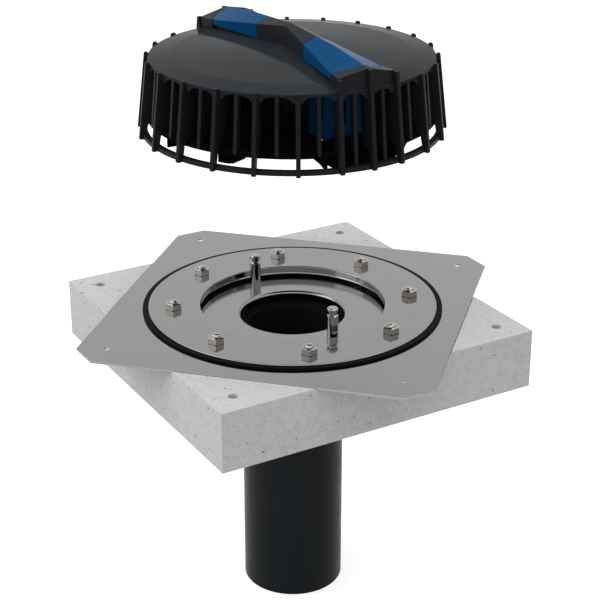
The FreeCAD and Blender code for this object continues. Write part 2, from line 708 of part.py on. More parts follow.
rim_low = size.collar_foot_z
rim_high = size.waist_ridge_z + size.bridge_wall
cavity_root = size.arch_foot_z
guard_pieces = [collar, low_ring] + mid_rings + ribs + bars
guard_cuts = []
for end in (0, HALF_TURN):
    rim = cone(f"rim_{end}", wall_r(rim_low), wall_r(rim_high), rim_high - rim_low, rim_low)
    whole_form = bridge_form(f"bridge_{end}", as_size(0), size.bridge_root_z, end)
    form = shared(f"bridge_in_rim_{end}", whole_form, rim)
    pocket = grip_plan(f"pocket_{end}", size.grip_end_gap, size.arch_foot_z, rim_high, end)
    guard_pieces.append(cut_from(f"bridge_black_{end}", form, pocket))
    # Hollow inside the waist and inside the end piece, open from below
    inner_rim = cone(f"inner_rim_{end}", wall_r(rim_low) - size.cage_wall,
                     wall_r(rim_high) - size.cage_wall, rim_high - rim_low, rim_low)
    inner = shared(f"hollow_in_rim_{end}",
                   bridge_form(f"hollow_{end}", size.bridge_wall, cavity_root, end), inner_rim)
    bulkhead = grip_plan(f"bulkhead_{end}", size.grip_end_gap + size.bridge_wall,
                         size.collar_foot_z, rim_high, end)
    guard_cuts.append(cut_from(f"hollow_cut_{end}", inner, bulkhead))
    # Low sills inside the grip's skirts
    sill_out = bridge_form(f"sill_out_{end}", size.grip_wall + size.grip_side_gap,
                           size.bridge_root_z, end)
    sill_in = bridge_form(f"sill_in_{end}", size.grip_wall + size.grip_side_gap + size.sill_thick,
                          size.collar_foot_z, end)
    sill_walls = cut_from(f"sill_walls_{end}", sill_out, sill_in)
    sill_reach = grip_plan(f"sill_reach_{end}", size.grip_end_gap + size.bridge_wall / 2,
                           size.collar_foot_z, size.grip_foot_z - size.sill_drop, end)
    guard_pieces.append(shared(f"sills_{end}", sill_walls, sill_reach))

# Lugs for the axles, slots for the grips' webs, and the middle column

pin_s = size.pin_circle_r
lug_outer_t = size.lug_inner_t + size.lug_thick
web_inner_t = lug_outer_t + size.web_gap
web_outer_t = web_inner_t + size.web_thick
slot_outer_t = web_outer_t + size.web_gap
slot_top_z = size.grip_foot_z + size.web_gap


def both_sides(inner_t, outer_t):
    """The two mirrored spans across the bridge."""
    return ((inner_t, outer_t), (-outer_t, -inner_t))


for end in (0, HALF_TURN):
    for side, (low_t, high_t) in enumerate(both_sides(size.lug_inner_t, lug_outer_t), start=1):
        guard_pieces.append(slab(
            f"lug_{end}_{side}", (pin_s - size.lug_half, low_t, size.cover_crease_z),
            (pin_s + size.lug_half, high_t, size.axle_z + size.lug_top), end))
    for side, (low_t, high_t) in enumerate(both_sides(lug_outer_t, slot_outer_t), start=1):
        guard_cuts.append(slab(
            f"slot_{end}_{side}", (size.web_start_s - size.slot_play, low_t, size.collar_foot_z),
            (size.web_end_s + size.slot_play, high_t, slot_top_z), end))
    guard_cuts.append(axle_rod(f"axle_hole_{end}", size.axle_r + size.axle_fit, lug_outer_t, end))

column_top = size.cover_crown_z - size.cover_thick
column_foot = size.disc_z + size.disc_thick
guard_pieces.append(cone("column", size.column_r, size.column_r + size.column_taper,
                         column_top - column_foot, column_foot))
guard_cuts.append(cylinder("column_hole", size.screw_r + size.screw_fit,
                           size.screw_long - size.disc_thick, 0, 0, column_foot))
gusset_foot = column_top - size.gusset_drop
gusset_sketch = blade_sketch("gusset_outline", [
    (0, column_top), (0, gusset_foot), (size.column_r, gusset_foot),
    (size.gusset_reach, size.gusset_tip_z),
    (size.cover_middle_r, column_top - size.cover_thick)])
for angle in GUSSET_ANGLES:
    guard_pieces.append(blade(f"gusset_{angle}", gusset_sketch, size.gusset_thick, as_size(angle)))

guard_solid = joined("guard_joined", guard_pieces)
guard = cut_from("guard", guard_solid, joined("guard_cuts", guard_cuts))


def on_guard(thing, label):
    """Lifts a piece with the leaf guard and turns it in line with the pins."""
    place(thing, 0, 0, size.guard_lift)
    return node(turn_about_z(thing, size.bridge_angle), label)


on_guard(guard, "leaf_guard")

# Function disc: the plate that keeps air out, with vanes below it whose ends turn into lips

plate = cylinder("disc_plate", disc_r, size.disc_thick, 0, 0, size.disc_z)
ridge_foot = size.disc_z + size.disc_thick / 2
ridge_top = size.disc_z + size.disc_thick + size.disc_ridge_high
ridge = turned("disc_ridge", [
    (size.disc_ridge_r - size.disc_ridge_thick, ridge_foot), (size.disc_ridge_r, ridge_foot),
    (size.disc_ridge_r, ridge_top), (size.disc_ridge_r - size.disc_ridge_thick, ridge_top)])
vane_top = size.disc_z + size.disc_thick / 2


lip_r = size.lip_inner_r + size.lip_thick


def vane_points(inner_r, tip_z):
    """Outline of a vane: level along its foot, with its outer end in a lip."""
    outer_r = size.lip_inner_r + size.lip_thick / 2
    return [
        (inner_r, vane_top), (inner_r, size.vane_foot_z), (size.vane_turn_r, size.vane_foot_z),
        (outer_r, tip_z), (outer_r, vane_top)]


def lip(name, points, way, angle):
    """A curved lip at a vane's end, seen from outside, drawn to the side that way names."""
    sided = [(across * way, z) for across, z in points]
    wall = turned(f"{name}_wall", [
        (size.lip_inner_r, 0), (lip_r, 0), (lip_r, vane_top), (size.lip_inner_r, vane_top)])
    return shared(name, wall, pushed_through(f"{name}_outline", sided, size.vane_turn_r,
                                             size.lip_inner_r + size.vane_turn_r, angle))


vane_half = size.vane_thick / 2
notch_end = size.near_lip_notch + vane_half
near_lip = [
    (-size.near_lip_out, vane_top), (-size.near_lip_turn, size.near_lip_turn_z),
    (-vane_half, size.near_lip_foot_z), (vane_half, size.near_lip_foot_z),
    (vane_half, size.near_lip_notch_z), (notch_end, size.near_lip_foot_z),
    (size.near_lip_in, size.near_lip_foot_z), (size.near_lip_in, vane_top)]
far_lip = [
    (size.far_lip_out, vane_top), (size.far_lip_turn, size.far_lip_turn_z),
    (-vane_half, size.far_lip_foot_z), (-size.far_lip_in, size.far_lip_foot_z),
    (-size.far_lip_in, vane_top)]
near_vane = blade_sketch("near_vane_outline", vane_points(size.vane_clear_r, size.near_lip_foot_z))
far_vane = blade_sketch("far_vane_outline", vane_points(size.vane_inner_r, size.far_lip_foot_z))
cross_vane = blade_sketch("cross_vane_outline", vane_points(size.vane_inner_r, size.vane_foot_z))
vanes = []
for way in (-1, 1):
    for end in (0, HALF_TURN):
        vanes.append(blade(f"near_vane_{end}_{way + 1}", near_vane, size.vane_thick,
                           end + way * size.first_vane_angle))
        vanes.append(blade(f"far_vane_{end}_{way + 1}", far_vane, size.vane_thick,
                           end + way * size.second_vane_angle))
        vanes.append(lip(f"near_lip_{end}_{way + 1}", near_lip, -way,
                         end + way * size.first_vane_angle))
        vanes.append(lip(f"far_lip_{end}_{way + 1}", far_lip, -way,
                         end + way * size.second_vane_angle))
    vanes.append(blade(f"cross_vane_{way + 1}", cross_vane, size.vane_thick,
                       as_size(CROSS_VANE_ANGLE * way)))
swing_in = (size.axle_z - size.fork_z) * sin_of(size.grip_swing)
# Under each end of the bridge the disc steps down into a tray, so the gable bays open to the foot
tray_half = size.gable_half_angle - size.tray_side_angle
tray_rim_r = low_ring_inner_r - size.tray_rim_fit
disc_top = size.disc_z + size.disc_thick
tray_bed = size.tray_foot_z + size.tray_wall
trays = []
tray_hollows = []
for end in (0, HALF_TURN):
    trays.append(turned(f"tray_{end}", [
        (size.tray_inner_r - size.tray_wall, size.tray_foot_z), (tray_rim_r, size.tray_foot_z),
        (tray_rim_r, disc_top), (size.tray_inner_r - size.tray_wall, disc_top)],
        2 * size.gable_half_angle, end - size.gable_half_angle))
    tray_hollows.append(turned(f"tray_hollow_{end}", [
        (size.tray_inner_r, tray_bed), (cage_foot_r, tray_bed),
        (cage_foot_r, disc_top + size.disc_thick), (size.tray_inner_r, disc_top + size.disc_thick)],
        2 * tray_half, end - tray_half))
windows = [slab(f"catch_window_{end}",
                (size.catch_start_s - swing_in - size.grip_window_play,
                 -size.catch_half - size.grip_window_play, size.vane_foot_z),
                (size.catch_end_s + size.grip_window_play,
                 size.catch_half + size.grip_window_play, ridge_top + size.disc_thick), end)
           for end in (0, HALF_TURN)]
screw_way = cylinder("disc_screw_hole", size.screw_r + size.screw_fit, size.disc_thick,
                     0, 0, size.disc_z)
function_disc = cut_from("function_disc_cut", joined("function_disc_joined", [plate, ridge] + vanes + trays),
                         joined("function_disc_cuts", windows + tray_hollows + [screw_way]))
on_guard(function_disc, "function_disc")

screw_head_z = size.disc_z - size.screw_head_high
screw_tip_z = size.disc_z + size.screw_long
screw = turned("screw_turning", [
    (0, screw_head_z), (size.screw_head_r - size.pin_bevel, screw_head_z),
    (size.screw_head_r, screw_head_z + size.pin_bevel), (size.screw_head_r, size.disc_z),
    (size.screw_r, size.disc_z), (size.screw_r, screw_tip_z - size.pin_bevel),
    (size.screw_r - size.pin_bevel, screw_tip_z), (0, screw_tip_z)])
slot_half = size.screw_slot_half
recess_top = screw_head_z + size.pin_bevel
cross = joined("screw_recess", [
    slab("screw_slot_x", (-size.screw_r, -slot_half, screw_head_z),
         (size.screw_r, slot_half, recess_top)),
    slab("screw_slot_y", (-slot_half, -size.screw_r, screw_head_z),
         (slot_half, size.screw_r, recess_top))])
on_guard(cut_from("screw", screw, cross), "disc_screw")

# Grips: an axle, a blue cap with two webs, and a catch that hooks under the pin's head

cap_top = size.waist_ridge_z
for number, end in ((1, 0), (2, HALF_TURN)):
    rod = axle_rod(f"axle_rod_{number}", size.axle_r, size.bridge_end_half, end)
    between_webs = slab(f"axle_length_{number}",
                        (pin_s - size.lug_half, -web_outer_t, size.axle_z - size.lug_half),
                        (pin_s + size.lug_half, web_outer_t, size.axle_z + size.lug_half), end)
    on_guard(shared(f"axle_{number}", rod, between_webs), f"grip_axle_{number}")
    cap_outside = bridge_form(f"cap_out_{number}", as_size(0), size.collar_foot_z, end)
    cap_inside = bridge_form(f"cap_in_{number}", size.grip_wall,
                             size.collar_foot_z - size.cage_wall, end)
    cap_form = cut_from(f"cap_shell_{number}", cap_outside, cap_inside)
    cap_shell = shared(f"cap_in_plan_{number}", cap_form,
                       grip_plan(f"cap_plan_{number}", as_size(0), size.grip_foot_z, cap_top, end))
    webs = [slab(f"web_{number}_{side}", (size.web_start_s, low_t, size.web_foot_z),
                 (size.web_end_s, high_t, cap_top), end)
            for side, (low_t, high_t) in enumerate(both_sides(web_inner_t, web_outer_t), start=1)]
    under_roof = bridge_form(f"web_limit_{number}", size.grip_wall / 2,
                             size.web_foot_z - size.web_gap, end)
    web_pair = shared(f"webs_{number}", joined(f"web_slabs_{number}", webs), under_roof)
    cap = cut_from(f"cap_{number}", joined(f"cap_joined_{number}", [cap_shell, web_pair]),
                   axle_rod(f"cap_bore_{number}", size.axle_r + size.axle_fit,
                            size.bridge_end_half, end))
    on_guard(cap, f"grip_cap_{number}")
    # Catch: a channel open towards the middle, with a notched plate at its foot
    outside = slab(f"catch_out_{number}", (size.catch_start_s, -size.catch_half, size.fork_z),
                   (size.catch_end_s, size.catch_half, size.web_foot_z), end)
    inner_half = size.catch_half - size.catch_wall
    fork_top = size.fork_z + size.fork_thick
    back_s = size.catch_end_s - size.catch_wall
    hollow = slab(f"catch_hollow_{number}", (size.catch_start_s, -inner_half, fork_top),
                  (back_s, inner_half, size.web_foot_z - size.catch_wall), end)
    mouth = slab(f"fork_mouth_{number}", (pin_s, -inner_half, size.fork_z),
                 (back_s, inner_half, fork_top), end)
    notch_s = -pin_s if end else pin_s
    notch = cylinder(f"fork_notch_{number}", size.fork_notch_r, size.fork_thick,
                     notch_s, 0, size.fork_z)
    back_slot = slab(f"catch_slot_{number}",
                     (back_s, -size.catch_slot_half, size.catch_slot_low),
                     (size.catch_end_s, size.catch_slot_half, size.catch_slot_high), end)
    catch_cuts = [hollow, mouth, notch, back_slot]
    catch = cut_from(f"catch_{number}", outside, joined(f"catch_cuts_{number}", catch_cuts))
    on_guard(catch, f"grip_catch_{number}")

# Build, check and write

doc.recompute()
faults = []
for thing in doc.Objects:
    if "Invalid" in thing.State or "Error" in thing.State:
        faults.append(f"{thing.Name}: {thing.State} {thing.getStatusString()}")
for thing in nodes:
    if thing.Shape.isNull() or not thing.Shape.isValid() or not thing.Shape.Solids:
        faults.append(f"{thing.Label}: no valid shape")
if faults:
    raise RuntimeError("\n".join(faults))

os.makedirs("parts", exist_ok=True)
for thing in nodes:
    thing.Shape.exportStep(f"parts/{thing.Label}.step")
    box = thing.Shape.BoundBox
    print(f"{thing.Label}: {len(thing.Shape.Solids)} solid, {thing.Shape.Volume / 1000:.2f} cm3, "
          f"z {box.ZMin:.1f} to {box.ZMax:.1f}")
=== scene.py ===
import math

import bmesh
import bpy
from mathutils import Matrix, Vector


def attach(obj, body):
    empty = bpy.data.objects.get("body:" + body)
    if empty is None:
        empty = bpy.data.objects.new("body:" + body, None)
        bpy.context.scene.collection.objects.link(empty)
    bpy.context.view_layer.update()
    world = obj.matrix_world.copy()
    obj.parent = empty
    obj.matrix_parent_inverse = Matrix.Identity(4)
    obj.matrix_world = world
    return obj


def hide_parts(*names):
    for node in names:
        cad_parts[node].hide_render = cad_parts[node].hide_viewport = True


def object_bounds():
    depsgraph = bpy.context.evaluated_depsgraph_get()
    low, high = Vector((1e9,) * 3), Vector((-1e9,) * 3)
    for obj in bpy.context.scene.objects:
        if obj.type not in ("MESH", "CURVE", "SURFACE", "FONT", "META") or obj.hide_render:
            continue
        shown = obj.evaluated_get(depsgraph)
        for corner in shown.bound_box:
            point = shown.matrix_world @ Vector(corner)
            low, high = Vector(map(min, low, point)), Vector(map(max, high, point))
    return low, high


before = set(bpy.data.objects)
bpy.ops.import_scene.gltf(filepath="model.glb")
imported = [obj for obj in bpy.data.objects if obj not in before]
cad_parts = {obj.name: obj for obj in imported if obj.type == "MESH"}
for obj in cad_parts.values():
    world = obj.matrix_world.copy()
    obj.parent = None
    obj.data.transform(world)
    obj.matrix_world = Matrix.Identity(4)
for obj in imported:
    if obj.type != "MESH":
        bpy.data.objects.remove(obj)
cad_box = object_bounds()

# Insulation block
# A square slab of light grey foam, sawn from a larger sheet, so small open pores show on
# every face. The steel flange beds on it, and the pipe rises through a stepped well in it.

MM = 0.001
CORNER_ANGLE = 28
SHARP_ANGLE = 32
scene = bpy.context.scene


def plain_mesh(thing):
    """What an object looks like with its modifiers, as a mesh of its own; the object goes."""
    bpy.context.view_layer.update()
    ready = thing.evaluated_get(bpy.context.evaluated_depsgraph_get())
    mesh = bpy.data.meshes.new_from_object(ready)
    bpy.data.objects.remove(thing)
    return mesh


def blank_of(mesh):
    blank = bpy.data.objects.new("blank", mesh)
    scene.collection.objects.link(blank)
    return blank


def carved(mesh, tool, how="DIFFERENCE"):
    """One closed mesh cut or trimmed by another."""
    blank, cutter = blank_of(mesh), blank_of(tool)
    step = blank.modifiers.new("carve", "BOOLEAN")
    step.object = cutter
    step.operation = how
    step.solver = "EXACT"
    result = plain_mesh(blank)
    bpy.data.objects.remove(cutter)
    return result


def smoothed(mesh, sharp_angle=SHARP_ANGLE):
    mesh.shade_smooth()
    mesh.set_sharp_from_angle(angle=math.radians(sharp_angle))
    return mesh


def flattened(mesh):
    """Large flat faces lead the light, and the roundings follow them."""
    blank = blank_of(mesh)
    blank.modifiers.new("flats", "WEIGHTED_NORMAL").keep_sharp = True
    return plain_mesh(blank)


def edged(mesh, width):
    """The mesh with its edges rounded over, and its flats kept flat in the light."""
    blank = blank_of(mesh)
    edge = blank.modifiers.new("edge", "BEVEL")
    edge.width = width * MM
    edge.segments = 2
    edge.limit_method = "ANGLE"
    edge.angle_limit = math.radians(CORNER_ANGLE)
    return flattened(smoothed(plain_mesh(blank)))


def mesh_of(shape, name):
    mesh = bpy.data.meshes.new(name)
    shape.to_mesh(mesh)
    shape.free()
    return mesh


def closed_mesh(shape, name):
    """A mesh with no doubled corners, whose faces all look outwards."""
    bmesh.ops.remove_doubles(shape, verts=shape.verts, dist=1e-7)
    bmesh.ops.recalc_face_normals(shape, faces=shape.faces)
    return mesh_of(shape, name)


def joined(meshes, name):
    """Several meshes as one."""
    shape = bmesh.new()
    for mesh in meshes:
        shape.from_mesh(mesh)
    return mesh_of(shape, name)


def piece(name, mesh, body, finish, slot, *nodes):
    """A finished mesh becomes a piece that rides on a body and stands for its CAD nodes."""
    thing = bpy.data.objects.new(name, mesh)
    thing.data.name = name
    scene.collection.objects.link(thing)
    mesh.materials.clear()
    mesh.materials.append(finish)
    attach(thing, body)
    if nodes:
        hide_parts(*nodes)


def on_circle(radius, angle):
    """The point at an angle in radians on a circle round the middle."""
    return radius * math.cos(angle), radius * math.sin(angle)


def turned(name, section, sides=192):
    """A closed ring or disc, turned about the middle axis from its section in millimetres."""
    shape = bmesh.new()
    rings = []
    for r, z in section:
        count = sides if r > 1e-6 else 1
        rings.append([shape.verts.new(Vector((*on_circle(r, math.tau * i / sides), z)) * MM)
                      for i in range(count)])
    for low, high in zip(rings, rings[1:] + rings[:1]):
        for i in range(sides):
            j = (i + 1) % sides
            corners = [low[i % len(low)], low[j % len(low)],
                       high[j % len(high)], high[i % len(high)]]
            kept = list(dict.fromkeys(corners))
            if len(kept) > 2:
                shape.faces.new(kept)
    return closed_mesh(shape, name)


def box_mesh(name, low, high):
    shape = bmesh.new()
    bmesh.ops.create_cube(shape, size=1)
    low, high = Vector(low) * MM, Vector(high) * MM
    matrix = Matrix.Translation((low + high) / 2) @ Matrix.Diagonal((*(high - low), 1))
    bmesh.ops.transform(shape, matrix=matrix, verts=shape.verts)
    return closed_mesh(shape, name)


def round_tool(x, y, radius, low, high, sides=64):
    """A round cutter that stands at x, y."""
    mesh = turned("cutter", [(0, low), (radius, low), (radius, high), (0, high)], sides)
    mesh.transform(Matrix.Translation((x * MM, y * MM, 0)))
    return mesh


def walled(shape, rings):
    """Bands of faces between loops that have the same number of corners."""
    for low, high in zip(rings, rings[1:]):
        for i in range(len(low)):
            j = (i + 1) % len(low)
            shape.faces.new([low[i], low[j], high[j], high[i]])


def wrapped(name, rows, closed_ends=True):
    """A skin over rings of points, each given as x, y and z in millimetres."""
    shape = bmesh.new()
    rings = [[shape.verts.new(Vector(point) * MM) for point in row] for row in rows]
    walled(shape, rings)
    if closed_ends:
        for ring in (rings[0], rings[-1]):
            shape.faces.new(ring)
    return closed_mesh(shape, name)


def add(tree, kind, operation=None, **sockets):
    """A node with its inputs set or linked by name; spaces are written as underlines."""
    made = tree.nodes.new(kind)
    if operation:
        made.operation = operation
    for name, value in sockets.items():
        name = name.replace("_", " ")
        if name.startswith("in "):
            target = made.inputs[int(name[3:])]
        else:
            target = made.inputs[name]
        if isinstance(value, bpy.types.NodeSocket):
            tree.links.new(value, target)
        else:
            target.default_value = value
    return made


def finish_of(name, colour, roughness, metallic=0.0):
    """A new material with its plain values, its node tree, shader and place on the object."""
    finish = bpy.data.materials.new(name)
    finish.use_nodes = True
    tree = finish.node_tree
    shader = tree.nodes["Principled BSDF"]
    shader.inputs["Base Color"].default_value = (*colour, 1)
    shader.inputs["Roughness"].default_value = roughness
    shader.inputs["Metallic"].default_value = metallic
    spot = tree.nodes.new("ShaderNodeTexCoord").outputs["Object"]
    return finish, tree, shader, spot


def stretched(tree, spot, scale, turn=0.0):
    """Places on the object drawn out by a scale along each axis, for a grain."""
    return add(tree, "ShaderNodeMapping", Vector=spot, Rotation=(0, 0, turn),
               Scale=scale).outputs["Vector"]


def noise(tree, spot, scale, detail, roughness=0.5):
    return add(tree, "ShaderNodeTexNoise", Vector=spot, Scale=scale, Detail=detail,
               Roughness=roughness).outputs["Fac"]


def maths(tree, operation, *values):
    sockets = {f"in_{i}": value for i, value in enumerate(values)}
    return add(tree, "ShaderNodeMath", operation, **sockets).outputs["Value"]


def mixed(tree, low, high, factor):
    """A colour between two colours."""
    mix = tree.nodes.new("ShaderNodeMix")
    mix.data_type = "RGBA"
    for socket, value in ((mix.inputs[6], low), (mix.inputs[7], high)):
        if isinstance(value, bpy.types.NodeSocket):
            tree.links.new(value, socket)
        else:
            socket.default_value = (*value, 1)
    tree.links.new(factor, mix.inputs[0])
    return mix.outputs[2]


def spread(tree, value, from_low, from_high, to_low, to_high):
    """A value moved from one range to another, and kept within it."""
    return add(tree, "ShaderNodeMapRange", Value=value, From_Min=from_low, From_Max=from_high,
               To_Min=to_low, To_Max=to_high).outputs["Result"]


def bumped(tree, shader, height, strength, distance=0.0001):
    """Fine relief on the surface, from a pattern."""
    bump = add(tree, "ShaderNodeBump", Height=height, Strength=strength, Distance=distance)
    tree.links.new(bump.outputs["Normal"], shader.inputs["Normal"])


# The foam's cells are drawn out along the saw's way, and one in four of them holds a pore, whose
# dark grey is painted shade in its hollow.
FOAM_PALE = (0.78, 0.78, 0.77)
FOAM_GREY = (0.54, 0.54, 0.535)
FOAM_PORE_SHADE = (0.16, 0.16, 0.16)
CELL_SCALE = (95.0, 240.0, 240.0)
NO_PORE_BELOW = 0.76
WIDEST_PORE = 0.24
foam, tree, shader, spot = finish_of("grey_foam", (0.65, 0.65, 0.64), 0.9)
cells = add(tree, "ShaderNodeTexVoronoi", Scale=1.0,
            Vector=stretched(tree, spot, CELL_SCALE, math.radians(45)))
luck = add(tree, "ShaderNodeSeparateColor", Color=cells.outputs["Color"]).outputs["Red"]
pore_reach = spread(tree, luck, NO_PORE_BELOW, 1.0, 0.0, WIDEST_PORE)
pore_depth = maths(tree, "SUBTRACT", pore_reach, cells.outputs["Distance"])
pore = spread(tree, pore_depth, 0.0, 0.06, 0.0, 1.0)
grain = noise(tree, spot, 750.0, 4.0, 0.75)
cloud = noise(tree, spot, 160.0, 3.0)
mottle = spread(tree, maths(tree, "MULTIPLY_ADD", cloud, 0.25, grain), 0.45, 0.80, 0.0, 1.0)
ground = mixed(tree, FOAM_GREY, FOAM_PALE, mottle)
# The pores take a dark grey here: painted shade in their hollows.
tree.links.new(mixed(tree, ground, FOAM_PORE_SHADE, pore), shader.inputs["Base Color"])
bumped(tree, shader, maths(tree, "SUBTRACT", grain, pore), 0.35, 0.0005)

BLOCK_HALF = 148.5
BLOCK_TOP = -0.3
BLOCK_FOOT = -52.5
BLOCK_HOLE_AT = 126.5
BLOCK_HOLE_R = 4.0
BLOCK_FIT = 0.5
BLOCK_TURN = Matrix.Rotation(math.radians(45), 4, "Z")
CUT_PAST = 1.0
SHEET = 2.0
FLANGE_HALF = 150.0
FLANGE_INSIDE = 130.0
POCKET_GAP = 0.4
PAN_R = 87.0
PAN_UNDER = -8.7
ADAPTER_FLANGE_R = 62.0
ADAPTER_FLANGE_FOOT = -14.9
ADAPTER_R = 49.05


def flange_outline(inset):
    """The flange's clipped square, drawn in by a distance from its edge."""
    half = FLANGE_HALF - inset
    inside = FLANGE_INSIDE - inset * math.tan(math.radians(22.5))
    return [(half, -inside), (half, inside), (inside, half), (-inside, half),
            (-half, inside), (-half, -inside), (-inside, -half), (inside, -half)]


block = box_mesh("block", (-BLOCK_HALF, -BLOCK_HALF, BLOCK_FOOT),
                 (BLOCK_HALF, BLOCK_HALF, BLOCK_TOP))
for x in (-BLOCK_HOLE_AT, BLOCK_HOLE_AT):
    for y in (-BLOCK_HOLE_AT, BLOCK_HOLE_AT):
        block = carved(block, round_tool(x, y, BLOCK_HOLE_R, BLOCK_FOOT - CUT_PAST,
                                         BLOCK_TOP + CUT_PAST))
pan_bed_r = PAN_R + BLOCK_FIT
pan_bed_foot = PAN_UNDER - BLOCK_FIT
well_r = ADAPTER_FLANGE_R + BLOCK_FIT
bore_r = ADAPTER_R + BLOCK_FIT
block = carved(block, turned("well", [
    (0, BLOCK_TOP + CUT_PAST), (pan_bed_r, BLOCK_TOP + CUT_PAST), (pan_bed_r, pan_bed_foot),
    (well_r, pan_bed_foot), (well_r, ADAPTER_FLANGE_FOOT), (bore_r, ADAPTER_FLANGE_FOOT),
    (bore_r, BLOCK_FOOT - CUT_PAST), (0, BLOCK_FOOT - CUT_PAST)], 128))
block.transform(BLOCK_TURN)
pocket = wrapped("pocket", [[(x, y, z) for x, y in flange_outline(-POCKET_GAP)]
                            for z in (-SHEET, CUT_PAST)])
block = carved(block, pocket)
piece("insulation_slab", edged(block, 0.5), "drain_body", foam, "foam", "insulation_block")

# Outlet pipe, its adapter and seal
# The pipe is extruded black polyethylene, 90 mm across, with a sawn and deburred end. The
# moulded adapter is pushed over the flange's throat, with a flat rubber seal between them.


def rounded(corners, closed=True, steps=4):
    """A section whose corners, each (radius, height, rounding), are rounded over."""
    points = []
    count = len(corners)
    for i, (r, z, soft) in enumerate(corners):
        here = Vector((r, z))
        if not soft or (not closed and i in (0, count - 1)):
            points.append(here)
            continue
        before = Vector(corners[i - 1][:2]) - here
        after = Vector(corners[(i + 1) % count][:2]) - here
        half_turn = before.angle(after) / 2
        reach = min(soft / math.tan(half_turn), 0.49 * before.length, 0.49 * after.length)
        before.normalize()
        after.normalize()
        middle = here + (before + after).normalized() * reach / math.cos(half_turn)
        start = here + before * reach - middle
        sweep = start.angle_signed(here + after * reach - middle)
        for k in range(steps + 1):
            points.append(middle + Matrix.Rotation(-sweep * k / steps, 2) @ start)
    return [(p.x, p.y) for p in points]


pipe_black, tree, shader, spot = finish_of("pipe_black", (0.008, 0.011, 0.0135), 0.34)
shader.inputs["Specular IOR Level"].default_value = 0.06
lines = noise(tree, stretched(tree, spot, (900.0, 900.0, 12.0)), 1.0, 3.0)
rub = noise(tree, spot, 38.0, 5.0)
tree.links.new(spread(tree, rub, 0.3, 0.7, 0.28, 0.42), shader.inputs["Roughness"])
tree.links.new(mixed(tree, (0.009, 0.012, 0.0145), (0.013, 0.016, 0.0185), lines),
               shader.inputs["Base Color"])
bumped(tree, shader, lines, 0.12)

PIPE_R = 45.0
PIPE_BORE_R = 41.5
PIPE_TOP = -21.9
PIPE_FOOT = -272.0
SEAT_R = 44.3
SEAT_FOOT = -46.2
pipe = turned("pipe", rounded([
    (PIPE_BORE_R, PIPE_FOOT, 0.4), (PIPE_R, PIPE_FOOT, 0.7), (PIPE_R, SEAT_FOOT, 0.2),
    (SEAT_R, SEAT_FOOT, 0.1), (SEAT_R, PIPE_TOP, 0.4), (PIPE_BORE_R, PIPE_TOP, 0.4)]), 256)
piece("outlet_tube", flattened(smoothed(pipe)), "drain_body", pipe_black, "pipe_plastic",
      "outlet_pipe")

SOCKET_R = 44.35
THROAT_SOCKET_R = 46.8
ADAPTER_TOP = -9.9
ADAPTER_FOOT = -45.9
STOP_TOP = -18.9
adapter = turned("adapter", rounded([
    (THROAT_SOCKET_R, ADAPTER_TOP, 0.3), (ADAPTER_FLANGE_R, ADAPTER_TOP, 0.5),
    (ADAPTER_FLANGE_R, ADAPTER_FLANGE_FOOT, 0.8), (ADAPTER_R, ADAPTER_FLANGE_FOOT, 1.0),
    (ADAPTER_R, ADAPTER_FOOT, 0.6), (SOCKET_R, ADAPTER_FOOT, 0.5), (SOCKET_R, PIPE_TOP, 0.2),
    (PIPE_BORE_R, PIPE_TOP, 0.3), (PIPE_BORE_R, STOP_TOP, 0.3),
    (THROAT_SOCKET_R, STOP_TOP, 0.3)]))
piece("throat_adapter", flattened(smoothed(adapter)), "drain_body", pipe_black, "pipe_plastic",
      "pipe_adapter")

SEAL_R = 57.4
seal_black, tree, shader, spot = finish_of("seal_rubber", (0.003, 0.003, 0.0034), 0.62)
shader.inputs["Specular IOR Level"].default_value = 0.05
dust = noise(tree, spot, 700.0, 5.0)
tree.links.new(mixed(tree, (0.002, 0.002, 0.0024), (0.004, 0.004, 0.0046), dust),
               shader.inputs["Base Color"])
bumped(tree, shader, dust, 0.2)
seal = turned("seal", rounded([
    (THROAT_SOCKET_R, ADAPTER_TOP, 0.2), (SEAL_R, ADAPTER_TOP, 0.2),
    (SEAL_R, PAN_UNDER, 0.2), (THROAT_SOCKET_R, PAN_UNDER, 0.2)]))
piece("adapter_seal", flattened(smoothed(seal)), "drain_body", seal_black, "rubber",
      "throat_seal")

# Sheet flange
# One 2 mm sheet of cold-rolled stainless steel, laser cut with its four corners clipped,
# then pressed into a shallow pan whose middle is rolled down as the throat.


def steel_finish(name, colour, smooth, rough):
    """Stainless steel: faint rolling grain and slow changes of sheen."""
    finish, tree, shader, spot = finish_of(name, colour, rough, 1.0)
    sheen = noise(tree, spot, 22.0, 4.0)
    grain = noise(tree, spot, 1500.0, 2.0)
    rolling = noise(tree, stretched(tree, spot, (60.0, 1400.0, 60.0)), 1.0, 3.0)
    tree.links.new(spread(tree, sheen, 0.3, 0.7, smooth, rough), shader.inputs["Roughness"])
    both = maths(tree, "MULTIPLY", grain, rolling)
    darker = tuple(value * 0.94 for value in colour)
    lighter = tuple(value * 1.05 for value in colour)
    tree.links.new(mixed(tree, darker, lighter, spread(tree, both, 0.15, 0.38, 0.0, 1.0)),
                   shader.inputs["Base Color"])
    bumped(tree, shader, both, 0.02)
    return finish


def ring_of(shape, points, z):
    return [shape.verts.new((x * MM, y * MM, z * MM)) for x, y in points]


def circle_points(radius, x=0.0, y=0.0, sides=48):
    circle = [on_circle(radius, math.tau * i / sides) for i in range(sides)]
    return [(x + off_x, y + off_y) for off_x, off_y in circle]


def round_rings(shape, section, sides=256):
    """One ring of corners for each point of a section."""
    return [ring_of(shape, circle_points(r, sides=sides), z) for r, z in section]


def filled(shape, loops):
    """A flat face with holes, between one outer loop and the loops inside it."""
    edges = []
    for loop in loops:
        for i, corner in enumerate(loop):
            pair = (corner, loop[(i + 1) % len(loop)])
            edges.append(shape.edges.get(pair) or shape.edges.new(pair))
    bmesh.ops.triangle_fill(shape, use_beauty=True, edges=edges)


EDGE = 0.2


